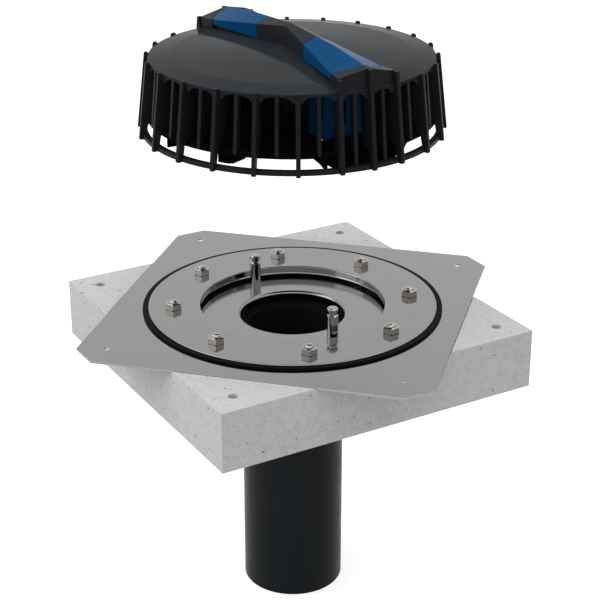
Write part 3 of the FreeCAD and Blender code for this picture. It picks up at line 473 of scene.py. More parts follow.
def hole_rings(shape, x, y, radius, top, under, undercut=EDGE):
    """The wall of a hole through a sheet, deburred at the top and opened out below."""
    rings = [ring_of(shape, circle_points(radius + EDGE, x, y), top),
             ring_of(shape, circle_points(radius, x, y), top - EDGE),
             ring_of(shape, circle_points(radius, x, y), under + undercut),
             ring_of(shape, circle_points(radius + undercut, x, y), under)]
    walled(shape, rings)
    return rings


def flat_shaded(mesh, flats):
    """Smooth but for the sheet's flats at these heights, which stay flat up to their edges."""
    smoothed(mesh)
    for face in mesh.polygons:
        level = min(abs(face.center.z - z * MM) for z in flats) < 1e-6
        if level and abs(face.normal.z) > 0.99999:
            face.use_smooth = False
    return mesh


FIXING_AT = 125.0
FIXING_HOLE_R = 2.5
FIXING_UNDERCUT = 1.2
PAN_FLAT_R = 92.0
PAN_FLOOR_R = 84.0
PAN_FLOOR = -6.7
THROAT_R = 45.0
THROAT_WALL = 1.6
THROAT_FOOT = -15.0
sheet_steel = steel_finish("sheet_steel", (0.272, 0.273, 0.271), 0.12, 0.17)
shape = bmesh.new()
rim = [ring_of(shape, flange_outline(inset), z)
       for inset, z in ((EDGE, 0), (0, -EDGE), (0, EDGE - SHEET), (EDGE, -SHEET))]
walled(shape, rim)
holes = [hole_rings(shape, x, y, FIXING_HOLE_R, 0, -SHEET, FIXING_UNDERCUT)
         for x in (-FIXING_AT, FIXING_AT) for y in (-FIXING_AT, FIXING_AT)]
pan = round_rings(shape, rounded([
    (PAN_FLAT_R, 0, 0), (PAN_R, 0, 1.6), (PAN_FLOOR_R, PAN_FLOOR, 1.6),
    (THROAT_R, PAN_FLOOR, 3.0), (THROAT_R, THROAT_FOOT, 0.4),
    (THROAT_R + THROAT_WALL, THROAT_FOOT, 0.4), (THROAT_R + THROAT_WALL, PAN_UNDER, 1.0),
    (PAN_FLOOR_R, PAN_UNDER, 2.6), (PAN_R, -SHEET, 1.0), (PAN_FLAT_R, -SHEET, 0)],
    closed=False, steps=6))
walled(shape, pan)
filled(shape, [rim[0], pan[0]] + [hole[0] for hole in holes])
filled(shape, [rim[-1], pan[-1]] + [hole[-1] for hole in holes])
flange = flat_shaded(closed_mesh(shape, "flange"), (0, -SHEET))
piece("steel_flange", flattened(flange), "drain_body", sheet_steel, "steel", "flange_plate")

# Gasket and clamp ring
# The roofing sheet is clamped between the flange's black rubber gasket and a ring of thicker
# polished steel, whose inner edge is rolled down into the pan.

RING_TOP = 3.0
RING_UNDER = 1.2
RING_R = 125.8
RING_FLAT_R = 120.0
RING_INNER_FLAT_R = 85.0
RING_INNER_R = 80.5
LIP_R = 82.0
LIP_FOOT = -3.0
# The gasket's raised bead round the ring's outer edge is a black band for the dark reflection
# and shade on the ring's side: painted shade.
GASKET_R = 130.6
GASKET_INNER_R = 90.0
SHADE_BEAD_INNER_R = RING_R + 0.5
SHADE_BEAD_TOP = 2.2
gasket = turned("gasket", rounded([
    (GASKET_INNER_R, 0.0, 0.2), (GASKET_R, 0.0, 0.3), (GASKET_R, SHADE_BEAD_TOP, 0.9),
    (SHADE_BEAD_INNER_R, SHADE_BEAD_TOP, 0.5), (SHADE_BEAD_INNER_R, RING_UNDER, 0.1),
    (GASKET_INNER_R, RING_UNDER, 0.3)]), 256)
piece("clamp_gasket", flattened(smoothed(gasket)), "drain_body", seal_black, "rubber",
      "flange_gasket")

STUD_CIRCLE_R = 103.85
STUD_HOLE_R = 4.4
STUDS = 8
FIRST_STUD = 22.5
STUD_STEP = 360 / STUDS
ring_steel = steel_finish("ring_steel", (0.268, 0.266, 0.262), 0.06, 0.10)
shape = bmesh.new()
outer = round_rings(shape, rounded([
    (RING_FLAT_R, RING_TOP, 0), (RING_R, RING_TOP, 0.7), (RING_R, RING_UNDER, 0.2),
    (RING_FLAT_R, RING_UNDER, 0)], closed=False, steps=3))
lip = round_rings(shape, rounded([
    (RING_INNER_FLAT_R, RING_TOP, 0), (RING_INNER_R, RING_TOP, 1.4),
    (RING_INNER_R, LIP_FOOT, 0.4), (LIP_R, LIP_FOOT, 0.4), (LIP_R, RING_UNDER, 0.6),
    (RING_INNER_FLAT_R, RING_UNDER, 0)], closed=False, steps=5))
walled(shape, outer)
walled(shape, lip)
stud_spots = [on_circle(STUD_CIRCLE_R, math.radians(FIRST_STUD + STUD_STEP * k))
              for k in range(STUDS)]
holes = [hole_rings(shape, x, y, STUD_HOLE_R, RING_TOP, RING_UNDER) for x, y in stud_spots]
filled(shape, [outer[0], lip[0]] + [hole[0] for hole in holes])
filled(shape, [outer[-1], lip[-1]] + [hole[-1] for hole in holes])
ring = flat_shaded(closed_mesh(shape, "ring"), (RING_TOP, RING_UNDER))
piece("steel_clamp_ring", flattened(ring), "drain_body", ring_steel, "steel", "clamp_ring")

# Weld studs and nuts
# Eight M8 studs are welded to the flange through the ring's holes, each with a rolled thread
# and a turned point. Hexagon nuts with a domed top pull the ring down on them.


def round_the_middle():
    """A tree that sets copies of a piece round the middle axis, in one or two equal sets.

    Follow is 1 where each copy turns with the circle, and 0 where all face the same way."""
    tree = bpy.data.node_groups.new("copies_round_the_middle", "GeometryNodeTree")
    names = {}
    for name, kind in (("Piece", "Object"), ("Count", "Int"), ("First angle", "Float"),
                       ("Step angle", "Float"), ("Radius", "Float"), ("Follow", "Float"),
                       ("Sets", "Int"), ("Finish", "Material")):
        names[name] = tree.interface.new_socket(name, in_out="INPUT",
                                                socket_type=f"NodeSocket{kind}").identifier
    tree.interface.new_socket("Geometry", in_out="OUTPUT", socket_type="NodeSocketGeometry")
    given = tree.nodes.new("NodeGroupInput").outputs
    copies = add(tree, "GeometryNodeObjectInfo", Object=given["Piece"]).outputs["Geometry"]
    for count in ("Count", "Sets"):
        points = add(tree, "GeometryNodeMeshLine", Count=given[count],
                     Offset=(0, 0, 0)).outputs["Mesh"]
        index = tree.nodes.new("GeometryNodeInputIndex").outputs["Index"]
        angle = maths(tree, "MULTIPLY", index, math.pi)
        if count == "Count":
            angle = maths(tree, "MULTIPLY_ADD", index, given["Step angle"], given["First angle"])
            along, across = (maths(tree, "MULTIPLY", maths(tree, way, angle), given["Radius"])
                             for way in ("COSINE", "SINE"))
            spot = add(tree, "ShaderNodeCombineXYZ", X=along, Y=across).outputs["Vector"]
            points = add(tree, "GeometryNodeSetPosition", Geometry=points,
                         Position=spot).outputs["Geometry"]
            angle = maths(tree, "MULTIPLY", angle, given["Follow"])
        turn = add(tree, "ShaderNodeCombineXYZ", Z=angle).outputs["Vector"]
        copies = add(tree, "GeometryNodeInstanceOnPoints", Points=points, Instance=copies,
                     Rotation=turn).outputs["Instances"]
    solid = add(tree, "GeometryNodeRealizeInstances", Geometry=copies).outputs["Geometry"]
    painted = add(tree, "GeometryNodeSetMaterial", Geometry=solid, Material=given["Finish"])
    result = tree.nodes.new("NodeGroupOutput")
    tree.links.new(painted.outputs["Geometry"], result.inputs["Geometry"])
    return tree, names


ROUND_TREE, ROUND_INPUT = round_the_middle()


def copies(mesh, count, first, step, finish, radius=0.0, follow=1.0, sets=1):
    """Copies of a mesh, set round the middle axis by angles in degrees, as one plain mesh."""
    source = blank_of(mesh)
    holder = blank_of(bpy.data.meshes.new("holder"))
    around = holder.modifiers.new("around", "NODES")
    around.node_group = ROUND_TREE
    for name, value in (("Piece", source), ("Count", count),
                        ("First angle", math.radians(first)), ("Step angle", math.radians(step)),
                        ("Radius", radius * MM), ("Follow", follow), ("Sets", sets),
                        ("Finish", finish)):
        around[ROUND_INPUT[name]] = value
    result = plain_mesh(holder)
    bpy.data.objects.remove(source)
    return result


NUT_HALF = 6.5
NUT_HIGH = 5.9
NUT_SIDES = 72
NUT_DOME_R = 6.1
NUT_BORE = 4.05
NUT_FOOT_SLOPE = 0.35
NUT_DOME_SLOPE = 0.62
NUT_HEADING = 15.0


def hexagon_reach(angle):
    """How far the nut's side stands from its axis at an angle."""
    return NUT_HALF / math.cos((angle + math.pi / 6) % (math.pi / 3) - math.pi / 6)


def nut_rows():
    """Rings of the nut from its bore's foot, round the outside, and back to the bore's foot."""
    rows = [[] for ring in range(9)]
    for i in range(NUT_SIDES):
        angle = math.tau * i / NUT_SIDES
        side = hexagon_reach(angle)
        past = side - NUT_DOME_R
        points = ((NUT_BORE, 0.35), (NUT_BORE + 0.35, 0.0), (NUT_DOME_R, 0.0),
                  (side, past * NUT_FOOT_SLOPE),
                  (side, NUT_HIGH - 0.25 - past * NUT_DOME_SLOPE),
                  (side - 0.12, NUT_HIGH - 0.12 - past * NUT_DOME_SLOPE),
                  (NUT_DOME_R - 0.3, NUT_HIGH), (NUT_BORE + 0.45, NUT_HIGH),
                  (NUT_BORE, NUT_HIGH - 0.4))
        for row, (r, z) in zip(rows, points):
            row.append((*on_circle(r, angle), z))
    return rows + rows[:1]


nut_steel = steel_finish("nut_steel", (0.37, 0.35, 0.34), 0.10, 0.17)
nut = wrapped("nut", nut_rows(), closed_ends=False)
nut.transform(Matrix.Translation((0, 0, RING_TOP * MM))
              @ Matrix.Rotation(math.radians(NUT_HEADING), 4, "Z"))
nuts = copies(flattened(smoothed(nut, 24)), STUDS, FIRST_STUD, STUD_STEP, nut_steel,
              STUD_CIRCLE_R, follow=0.0)
piece("clamp_nuts", nuts, "drain_body", nut_steel, "steel",
      *[f"clamp_nut_{k + 1}" for k in range(STUDS)])

STUD_R = 4.0
STUD_TOP = 10.6
STUD_POINT_IN = 0.8
STUD_POINT_SLOPE = 0.9
THREAD_PITCH = 1.25
THREAD_DEEP = 0.42
THREAD_ROOT = 0.1
THREAD_FLANK = 0.75


def stud_rows(sides=40, rise=0.125):
    """Rings of a threaded stud: the radius follows the thread's flanks round and up."""
    rows = []
    for level in range(round(STUD_TOP / rise) + 1):
        z = level * rise
        point_r = min(STUD_R, STUD_R - STUD_POINT_IN + (STUD_TOP - z) * STUD_POINT_SLOPE)
        row = []
        for i in range(sides):
            along = (z / THREAD_PITCH - i / sides) % 1
            flank = abs(2 * along - 1)
            crest = min(1.0, max(0.0, (flank - THREAD_ROOT) / THREAD_FLANK))
            r = min(STUD_R - THREAD_DEEP * (1 - crest), point_r)
            row.append((*on_circle(r, math.tau * i / sides), z))
        rows.append(row)
    return rows


stud = wrapped("stud", stud_rows())
studs = copies(smoothed(stud, 50), STUDS, FIRST_STUD, STUD_STEP, nut_steel, STUD_CIRCLE_R)
piece("weld_studs", studs, "drain_body", nut_steel, "steel",
      *[f"clamp_stud_{k + 1}" for k in range(STUDS)])

# Snap pins
# Two turned stainless pins stand in the pan, under the ends of the leaf guard's bridge. Each
# has a neck under its head that a catch hooks into, and a flat milled on its outer side.

BRIDGE_ANGLE = -45
PIN_CIRCLE_R = 67.1
PIN_R = 4.7
PIN_FLAT_AT = 3.6
PIN_FLAT_FOOT = 8.0
PIN_FLAT_TOP = 22.7
PIN_NECK_R = 3.45
PIN_NECK_FOOT = 23.6
PIN_HEAD_FOOT = 26.9
PIN_HIGH = 29.9
PIN_TIP = 0.9
pin = turned("pin", rounded([
    (0, 0, 0), (PIN_R, 0, 0), (PIN_R, PIN_FLAT_FOOT - 0.01, 0), (PIN_R, PIN_FLAT_FOOT + 0.01, 0),
    (PIN_R, PIN_FLAT_TOP, 0.25), (PIN_NECK_R, PIN_NECK_FOOT, 0.25),
    (PIN_NECK_R, PIN_HEAD_FOOT, 0.3), (PIN_R, PIN_HEAD_FOOT, 0.25),
    (PIN_R, PIN_HIGH - PIN_TIP, 0.3), (PIN_R - PIN_TIP, PIN_HIGH, 0.3), (0, PIN_HIGH, 0)],
    closed=False, steps=3), 96)
for corner in pin.vertices:
    if PIN_FLAT_FOOT * MM < corner.co.z < PIN_FLAT_TOP * MM:
        corner.co.x = min(corner.co.x, PIN_FLAT_AT * MM)
pin.transform(Matrix.Translation((0, 0, PAN_FLOOR * MM)))
pin_steel = steel_finish("pin_steel", (0.36, 0.345, 0.335), 0.05, 0.10)
pins = copies(flattened(smoothed(pin)), 2, BRIDGE_ANGLE, 180, pin_steel, PIN_CIRCLE_R)
piece("snap_pins", pins, "drain_body", pin_steel, "steel", "dome_pin_1", "dome_pin_2")

# Leaf guard: cover and collar
# The guard is one black moulding. Its cover is a shallow cone with a polished top, and turns
# down at its edge into a collar that arches from rib to rib.

GUARD_LIFT = 162.1
GUARD = (Matrix.Translation((0, 0, GUARD_LIFT * MM))
         @ Matrix.Rotation(math.radians(BRIDGE_ANGLE), 4, "Z"))
ENDS = (Matrix.Identity(4), Matrix.Rotation(math.pi, 4, "Z"))
CAGE_WALL = 2.6
CAGE_TOP_R = 117.2
CAGE_FOOT_R = 121.9
COVER_CROWN = 69.9
COVER_MIDDLE_R, COVER_MIDDLE = 50, 67.9
COVER_CREASE_R, COVER_CREASE = 98, 65.2
COVER_R, COVER_EDGE = 117.9, 62.6
COVER_LIP = 61.0
COVER_THICK = 2.4
COVER_UNDER_R = 114.8
MID_RING_FOOT = 14.4
MID_RING_TOP = 17.0
LEAN = (CAGE_FOOT_R - CAGE_TOP_R) / (COVER_EDGE - MID_RING_FOOT)
GABLE = 12.39
BAYS = 10
BAY = (180 - 2 * GABLE) / BAYS
RIB_THICK = 3.5
COLLAR_FOOT = 55.4
COLLAR_ROUNDING = ((0.0, 0.5), (0.12, 0.12), (0.5, 0.0))
ARCH_CROWN = 60.0
ARCH_SQUARENESS = 4


def wall_r(z):
    """Outer radius of the cage's leaning wall at a height."""
    return CAGE_TOP_R + (COVER_EDGE - z) * LEAN


def plastic_finish(name, dark, light, smooth, rough, pebble, gloss):
    """Moulded plastic: slow changes of sheen, and a fine pebble from the mould."""
    finish, tree, shader, spot = finish_of(name, dark, rough)
    shader.inputs["Specular IOR Level"].default_value = gloss
    sheen = noise(tree, spot, 16.0, 3.0)
    skin = noise(tree, spot, 2600.0, 2.0)
    tree.links.new(spread(tree, sheen, 0.3, 0.7, smooth, rough), shader.inputs["Roughness"])
    tree.links.new(mixed(tree, dark, light, skin), shader.inputs["Base Color"])
    bumped(tree, shader, skin, pebble)
    return finish


cover_black = plastic_finish("cover_black", (0.021, 0.0242, 0.0273), (0.027, 0.0303, 0.0338),
                             0.08, 0.12, 0.015, 0.012)
cage_black = plastic_finish("cage_black", (0.010, 0.0108, 0.0132), (0.015, 0.0158, 0.019),
                            0.36, 0.46, 0.12, 0.07)
# Painted shade: a darker copy of the cage's black for the disc, its pin ways and the middle
# ring, which stand in the cage's shade.
shaded_black = plastic_finish("shaded_black", (0.0028, 0.0031, 0.0045), (0.0044, 0.0048, 0.0068),
                            0.70, 0.80, 0.08, 0.01)

# The middle and the half width, in degrees, of each bay between two ribs
bay_list = []
for end in (0, 180):
    bay_list += [(end + GABLE + (k + 0.5) * BAY, BAY / 2) for k in range(BAYS)]
    bay_list += [(end + way * GABLE / 2, GABLE / 2) for way in (-1, 1)]


def arch_z(angle):
    """The collar's lower edge: a flat arch between two ribs, and full depth behind each rib."""
    for middle, half in bay_list:
        off = (angle - middle + 180) % 360 - 180
        if abs(off) <= half:
            reach = CAGE_TOP_R * math.sin(math.radians(half)) - RIB_THICK + 0.1
            across = abs(CAGE_TOP_R * math.sin(math.radians(off))) / reach
            return ARCH_CROWN - (ARCH_CROWN - COLLAR_FOOT) * min(1.0, across ** ARCH_SQUARENESS)
    return COLLAR_FOOT


def collared_cover(sides=720):
    """The cover and its collar as one skin, drawn ring by ring from the crown."""
    shell = [(0, COVER_CROWN, 0), (COVER_MIDDLE_R, COVER_MIDDLE, 60),
             (COVER_CREASE_R, COVER_CREASE, 14)]
    top = rounded(shell + [(COVER_R, COVER_EDGE, 0.5), (COVER_R, COVER_LIP, 0.25),
                           (wall_r(COVER_LIP), COVER_LIP, 0.15)], closed=False)
    under = rounded([(r, z - COVER_THICK, soft) for r, z, soft in
                     [(COVER_UNDER_R, COVER_EDGE, 0.6)] + shell[::-1]], closed=False)
    shape = bmesh.new()
    rings = round_rings(shape, top[1:], sides)
    inner_rounding = [(CAGE_WALL - inward, up) for inward, up in reversed(COLLAR_ROUNDING)]
    for inward, up in (*COLLAR_ROUNDING, *inner_rounding):
        ring = []
        for i in range(sides):
            z = arch_z(360 * i / sides) + up
            x, y = on_circle(wall_r(z) - inward, math.tau * i / sides)
            ring.append(shape.verts.new(Vector((x, y, z)) * MM))
        rings.append(ring)
    rings += round_rings(shape, under[:-1], sides)
    walled(shape, rings)
    for ring, z in ((rings[0], COVER_CROWN), (rings[-1], COVER_CROWN - COVER_THICK)):
        pole = shape.verts.new((0, 0, z * MM))
        for i in range(sides):
            shape.faces.new([pole, ring[i], ring[(i + 1) % sides]])
    return closed_mesh(shape, "cover")


cover = flattened(smoothed(collared_cover(), 30))
cover.transform(GUARD)
piece("guard_cover", cover, "guard", cover_black, "black_plastic", "leaf_guard")

# Leaf guard: ribs, bars and rings
# Upright ribs lean in from the foot ring to the cover and stand a little above its edge.
# Between each two a thinner bar rises from the middle ring to the crown of the arch.

RIB_FOOT_R = 128.8
RIB_SOLE_R = 125.3
RIB_INNER_R = 122.6
RIB_TOP_R = 121.3
RIB_TOP = 63.9
RIB_TOP_WIDE = 2.4
RIB_CLIP = 0.6
RIB_DEEP = 11.0
RIB_SHOULDER = 59.0
BAR_THICK = 3.2
BAR_DEEP = 6.5
BAR_TOP = 60.4
BAR_SHOULDER = BAR_TOP - 2
GABLE_BAR_FOOT = 2.45
LOW_RING_INNER_R = 120.0
LOW_RING_R = 125.4
LOW_RING_FOOT = 0.5
LOW_RING_TOP = 4.4
MID_RING_R = 119.6
MID_RING_WIDE = 3.2
BRIDGE_EAVE = ((0, 85.9), (95, 73.2), (118.5, 72.4))
BRIDGE_RIDGE = ((0, 87.9), (70, 83.9), (118.5, 77.9))


def bladed(name, outline, thick, angle=0.0):
    """A flat blade that stands upright through the middle axis, from its outline."""
    shape = bmesh.new()
    rings = [[shape.verts.new((r * MM, side * thick / 2 * MM, z * MM)) for r, z in outline]
             for side in (-1, 1)]
    walled(shape, rings)
    for ring in rings:
        shape.faces.new(ring)
    bmesh.ops.rotate(shape, matrix=Matrix.Rotation(math.radians(angle), 3, "Z"),
                     verts=shape.verts)
    return closed_mesh(shape, name)


def rib_outline(top):
    tip_r = RIB_FOOT_R - top * (RIB_FOOT_R - RIB_TOP_R) / RIB_TOP
    wall_middle = CAGE_WALL / 2
    return [(RIB_FOOT_R, RIB_CLIP), (RIB_FOOT_R - 0.1, 2 * RIB_CLIP), (tip_r, top - RIB_CLIP),
            (tip_r - RIB_CLIP, top), (tip_r - RIB_TOP_WIDE, top),
            (wall_r(COVER_LIP) - wall_middle, COVER_LIP),
            (wall_r(RIB_SHOULDER) - RIB_DEEP, RIB_SHOULDER),
            (wall_r(MID_RING_FOOT) - RIB_DEEP, MID_RING_FOOT),
            (wall_r(MID_RING_FOOT) - wall_middle, MID_RING_FOOT),
            (RIB_INNER_R, LOW_RING_TOP), (RIB_INNER_R, LOW_RING_FOOT), (RIB_SOLE_R, 0.0),
            (RIB_FOOT_R - RIB_CLIP, 0.0)]


def bar_outline(foot):
    """A bar's outline; one that starts below the middle ring has the wall's depth down there."""
    outline = [(wall_r(foot), foot), (wall_r(BAR_TOP), BAR_TOP),
               (wall_r(BAR_TOP) - CAGE_WALL, BAR_TOP),
               (wall_r(BAR_SHOULDER) - BAR_DEEP, BAR_SHOULDER),
               (wall_r(MID_RING_FOOT) - BAR_DEEP, MID_RING_FOOT),
               (wall_r(MID_RING_FOOT) - CAGE_WALL, MID_RING_FOOT)]
    if foot < MID_RING_FOOT:
        outline.append((wall_r(foot) - CAGE_WALL, foot))
    return outline


ribs = []
for top, count, first, step in ((RIB_TOP, BAYS - 1, GABLE + BAY, BAY),
                                (BRIDGE_RIDGE[2][1], 1, 0, 0),
                                (BRIDGE_EAVE[2][1], 2, -GABLE, 2 * GABLE)):
    rib = edged(bladed("rib", rib_outline(top), RIB_THICK), 0.45)
    ribs.append(copies(rib, count, first, step, cage_black, sets=2))
ribs = smoothed(joined(ribs, "ribs"), 50)
ribs.transform(GUARD)
piece("guard_ribs", ribs, "guard", cage_black, "black_plastic")

bars = []
for foot, count, first, step in ((MID_RING_FOOT, BAYS, GABLE + BAY / 2, BAY),
                                 (GABLE_BAR_FOOT, 2, -GABLE / 2, GABLE)):
    bar = edged(bladed("bar", bar_outline(foot), BAR_THICK), 0.4)
    bars.append(copies(bar, count, first, step, cage_black, sets=2))
bars = smoothed(joined(bars, "bars"), 50)
bars.transform(GUARD)
piece("guard_bars", bars, "guard", cage_black, "black_plastic")


def arc_wall(inner, outer, low, high, middle, half, steps=96):
    """An upright curved wall over part of a turn."""
    rows = []
    for k in range(steps + 1):
        angle = math.radians(middle - half + 2 * half * k / steps)
        rows.append([(*on_circle(r, angle), z)
                     for r, z in ((inner, low), (outer, low), (outer, high), (inner, high))])
    return edged(wrapped("arc_wall", rows), 0.35)


foot_ring = turned("foot_ring", rounded([
    (LOW_RING_INNER_R, LOW_RING_FOOT, 0.5), (LOW_RING_R, LOW_RING_FOOT, 0.6),
    (LOW_RING_R, LOW_RING_TOP, 0.6), (LOW_RING_INNER_R, LOW_RING_TOP, 0.5)]), 256)
foot_ring.transform(GUARD)
piece("guard_foot_ring", flattened(smoothed(foot_ring)), "guard", cage_black, "black_plastic")
mid_ring = joined([arc_wall(MID_RING_R - MID_RING_WIDE, MID_RING_R, MID_RING_FOOT, MID_RING_TOP,
                            middle, 90 - GABLE) for middle in (90, 270)], "mid_ring")
mid_ring.transform(GUARD)
# The middle ring gets the darker black: painted shade behind the bars.
piece("guard_mid_ring", smoothed(mid_ring), "guard", shaded_black, "black_plastic")

# Leaf guard: bridge
# A bow-tie bridge crosses the cover, narrow at its waist and wide at its ends, with a ridge
# along its middle. Two round-ended pockets in it hold the blue grips.

BRIDGE_END = 123.7
BRIDGE_ROOT = 61.0
WAIST_HALF = 5.3
END_HALF = 26.1
END_AT = 118.5
TOOL_FOOT = 55
TOOL_TOP = 95
CONE_TOP = 91
GRIP_START = 38.0
GRIP_ROUND_AT = 85.4
GRIP_ROUND_R = 24.6
GRIP_SIDE = 28.3
POCKET_PLAY = 0.7


def read_along(line, s):
    """The height of a bent line at a distance from the middle; its last run goes on."""
    start, bend, end = line
    (s_0, z_0), (s_1, z_1) = (start, bend) if s <= bend[0] else (bend, end)
    return z_0 + (z_1 - z_0) / (s_1 - s_0) * (s - s_0)


def bridge_section(s, inset, root):
    """The bridge's cross-section at a distance from the middle."""
    half = WAIST_HALF + (END_HALF - WAIST_HALF) / END_AT * abs(s) - inset
    eave = read_along(BRIDGE_EAVE, abs(s)) - inset
    ridge = read_along(BRIDGE_RIDGE, abs(s)) - inset
    return [(half, root), (half, eave), (0, ridge), (-half, eave), (-half, root)]


def bridge_form(inset, root, start=-BRIDGE_END):
    """The bridge as a solid down to its root, drawn in by an inset; from 0 it is one half."""
    far, near = BRIDGE_EAVE[1][0], BRIDGE_RIDGE[1][0]
    marks = [s for s in (-BRIDGE_END, -far, -near, 0, near, far, BRIDGE_END) if s >= start]
    return wrapped("form", [[(s, t, z) for t, z in bridge_section(s, inset, root)]
                            for s in marks])


def round_ended(grow, low, high, end=ENDS[0], sides=96):
    """The plan of a grip, as a straight-sided block with a round outer end."""
    sweep = [math.pi * (k / sides - 0.5) for k in range(sides + 1)]
    arc = [on_circle(GRIP_ROUND_R + grow, angle) for angle in sweep]
    plan = [(GRIP_START - grow, -GRIP_SIDE), (GRIP_ROUND_AT, -GRIP_SIDE),
            *[(GRIP_ROUND_AT + x, y) for x, y in arc],
            (GRIP_ROUND_AT, GRIP_SIDE), (GRIP_START - grow, GRIP_SIDE)]
    mesh = wrapped("plan", [[(x, y, z) for x, y in plan] for z in (low, high)])
    mesh.transform(end)
    return mesh


rim_cone = turned("rim_cone", [(0, TOOL_FOOT), (wall_r(TOOL_FOOT), TOOL_FOOT),
                               (wall_r(CONE_TOP), CONE_TOP), (0, CONE_TOP)], 360)
bridge = carved(bridge_form(0, BRIDGE_ROOT), rim_cone, "INTERSECT")
for end in ENDS:
    bridge = carved(bridge, round_ended(POCKET_PLAY, TOOL_FOOT, TOOL_TOP, end))
bridge = edged(bridge, 0.5)
bridge.transform(GUARD)
piece("guard_bridge", bridge, "guard", cage_black, "black_plastic")

# Leaf guard: sills, lugs and middle column
# Inside each grip's pocket stand low sills and the two lugs of its axle. Four thin gussets
# brace the column that the function disc is screwed to.

SILL_OUT = 2.6
SILL_IN = 3.8
SILL_GROW = 1.9
SILL_TOP = 68.1
LUG_HALF = 5.0
LUG_FOOT, LUG_TOP = 64.0, 75.4
LUG_NEAR, LUG_FAR = 7.4, 10.0
COLUMN_FOOT, COLUMN_TOP = 14.4, 67.4
COLUMN_FOOT_R, COLUMN_TOP_R = 7.5, 9.0
GUSSET_THICK = 2.4
GUSSET = [(5.0, COLUMN_TOP), (5.0, 41.5), (COLUMN_FOOT_R, 41.5), (70.0, 63.1), (50.0, 65.6)]
inner_parts = []
for end in ENDS:
    sill = carved(bridge_form(SILL_OUT, BRIDGE_ROOT, 0), bridge_form(SILL_IN, COLLAR_FOOT, 0))
    sill = carved(sill, round_ended(SILL_GROW, COLLAR_FOOT, SILL_TOP), "INTERSECT")
    sill.transform(end)
    inner_parts.append(smoothed(sill))
    for low, high in ((LUG_NEAR, LUG_FAR), (-LUG_FAR, -LUG_NEAR)):
        lug = box_mesh("lug", (PIN_CIRCLE_R - LUG_HALF, low, LUG_FOOT),
                       (PIN_CIRCLE_R + LUG_HALF, high, LUG_TOP))
        lug.transform(end)
        inner_parts.append(edged(lug, 0.4))
column = turned("column", rounded([
    (0, COLUMN_FOOT, 0), (COLUMN_FOOT_R, COLUMN_FOOT, 0.4), (COLUMN_TOP_R, COLUMN_TOP, 0),
    (0, COLUMN_TOP, 0)], closed=False), 64)
inner_parts.append(flattened(smoothed(column)))
for angle in (45, 135, 225, 315):
    inner_parts.append(edged(bladed("gusset", GUSSET, GUSSET_THICK, angle), 0.3))
inner = joined(inner_parts, "inner")
inner.transform(GUARD)
piece("guard_inner_parts", inner, "guard", cage_black, "black_plastic")

# Function disc and its screw
# A flat disc closes the cage above the foot, so that no air is drawn in, and swirl vanes
# hang under it. A low wall round each of its windows guides the pin, and one screw holds it.

WINDOW_START, WINDOW_END = 51.9, 81.0
WINDOW_HALF = 19.0
GUIDE_WALL = 1.2
GUIDE_FOOT, GUIDE_TOP = 6.0, 12.8


def dressed(node, finish):
    """A CAD node that keeps its own shape and gets its finish."""
    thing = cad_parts[node]
    thing.data.materials.clear()
    thing.data.materials.append(finish)


def window_block(grow, low, high):
    """The space of the disc's window, made wider all round."""
    return box_mesh("window", (WINDOW_START - grow, -WINDOW_HALF - grow, low),
                    (WINDOW_END + grow, WINDOW_HALF + grow, high))


# The disc and its pin ways get the darker black: painted shade inside the cage.
dressed("function_disc", shaded_black)
dressed("disc_screw", nut_steel)
pin_ways = []
for end in ENDS:
    guide = carved(window_block(GUIDE_WALL, GUIDE_FOOT, GUIDE_TOP),
                   window_block(0, GUIDE_FOOT - CUT_PAST, GUIDE_TOP + CUT_PAST))
    guide.transform(end)
    pin_ways.append(edged(guide, 0.25))
pin_ways = joined(pin_ways, "pin_ways")
pin_ways.transform(GUARD)
piece("disc_pin_ways", pin_ways, "guard", shaded_black, "black_plastic")

# Grips
# Each grip is a blue moulding that rocks on a steel axle: a cap that fills its pocket in the
# bridge, and a catch below it that hooks under the pin's head.

GRIP_WALL = 2.2
CAP_FOOT = 68.6
WEB_START, WEB_END = 61.5, 78.5
WEB_FOOT, WEB_TOP = 58.0, 90
WEB_NEAR, WEB_FAR = 10.4, 12.6
grip_blue = plastic_finish("grip_blue", (0.0010, 0.056, 0.155), (0.0015, 0.064, 0.174),
                           0.26, 0.34, 0.04, 0.02)
for number, end in enumerate(ENDS, 1):
    cap = carved(bridge_form(0, 60, 0), bridge_form(GRIP_WALL, TOOL_FOOT, 0))
    cap = carved(cap, round_ended(0, CAP_FOOT, TOOL_TOP), "INTERSECT")
    parts = [edged(cap, 0.45)]
    for low, high in ((WEB_NEAR, WEB_FAR), (-WEB_FAR, -WEB_NEAR)):
        web = carved(box_mesh("web", (WEB_START, low, WEB_FOOT), (WEB_END, high, WEB_TOP)),
                     bridge_form(GRIP_WALL / 2, 50, 0), "INTERSECT")
        parts.append(edged(web, 0.3))
    grip = joined(parts, "grip")
    grip.transform(GUARD @ end)
    piece(f"blue_grip_{number}", grip, f"grip_{number}", grip_blue, "blue_plastic",
          f"grip_cap_{number}")
    dressed(f"grip_catch_{number}", grip_blue)
    dressed(f"grip_axle_{number}", nut_steel)

# Studio
# A plain pale floor under the pipe's end, soft light from above and all round, and the
# camera at the height and turn from which the catalogue picture was taken.

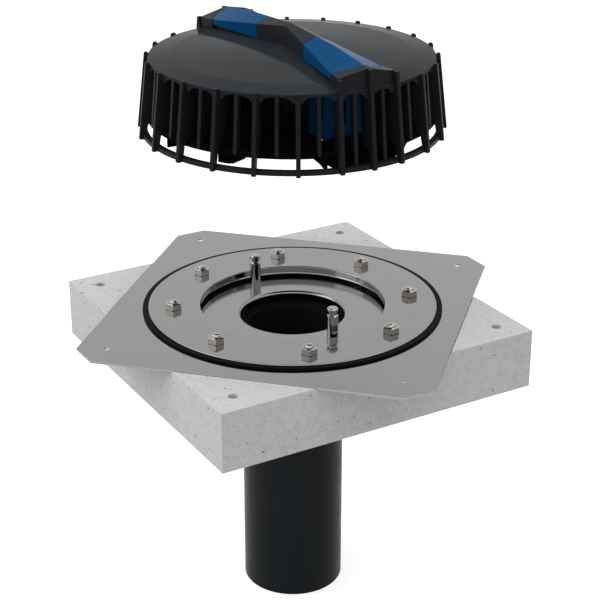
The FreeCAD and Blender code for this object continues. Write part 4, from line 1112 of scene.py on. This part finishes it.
AMBIENT = 0.52
FLOOR_GREY = (0.56, 0.56, 0.56)
FLOOR_GLOW = 0.75
FLOOR_HALF = 12
FLOOR_GAP = 0.0002
WHITE = (1, 1, 1, 1)
CAMERA_PLACE = (0.32506, -1.21645, 0.56303)
CAMERA_TILT = 66.072
CAMERA_TURN = 14.663


def seen_directly(tree):
    """1 where the eye meets the surface straight on, in a reflection or through something."""
    ray = tree.nodes.new("ShaderNodeLightPath").outputs
    return maths(tree, "MAXIMUM", ray["Is Transmission Ray"],
                 maths(tree, "MAXIMUM", ray["Is Camera Ray"], ray["Is Glossy Ray"]))


world = bpy.data.worlds.new("studio")
scene.world = world
world.use_nodes = True
tree = world.node_tree
background = tree.nodes["Background"]
tree.links.new(spread(tree, seen_directly(tree), 0.0, 1.0, AMBIENT, 1.0),
               background.inputs["Strength"])
background.inputs["Color"].default_value = WHITE

floor_finish, tree, shader, spot = finish_of("pale_floor", FLOOR_GREY, 0.9)
shader.inputs["Emission Color"].default_value = WHITE
tree.links.new(spread(tree, seen_directly(tree), 0.0, 1.0, 0.0, FLOOR_GLOW),
               shader.inputs["Emission Strength"])
shape = bmesh.new()
bmesh.ops.create_grid(shape, x_segments=1, y_segments=1, size=FLOOR_HALF)
floor = blank_of(mesh_of(shape, "floor"))
floor.name = "floor"
floor.location.z = cad_box[0][2] - FLOOR_GAP
floor.data.materials.append(floor_finish)


def soft_box(name, place, target, size, power):
    """A square soft lamp that faces a target."""
    lamp = bpy.data.lights.new(name, "AREA")
    lamp.shape = "SQUARE"
    lamp.size = size
    lamp.energy = power
    holder = bpy.data.objects.new(name, lamp)
    holder.location = place
    holder.rotation_euler = (Vector(target) - Vector(place)).to_track_quat("-Z", "Y").to_euler()
    scene.collection.objects.link(holder)


soft_box("overhead", (0.1, -0.1, 2.2), target=(0, 0, 0), size=3.2, power=32)
soft_box("left_side", (-1.8, -0.8, 1.2), target=(0, 0, 0.05), size=1.8, power=14)

camera = bpy.data.cameras.new("camera")
camera.lens = 94.52
camera.sensor_width = 36
viewer = bpy.data.objects.new("camera", camera)
viewer.location = CAMERA_PLACE
viewer.rotation_euler = (math.radians(CAMERA_TILT), 0, math.radians(CAMERA_TURN))
scene.collection.objects.link(viewer)
scene.camera = viewer
scene.view_settings.view_transform = "Standard"
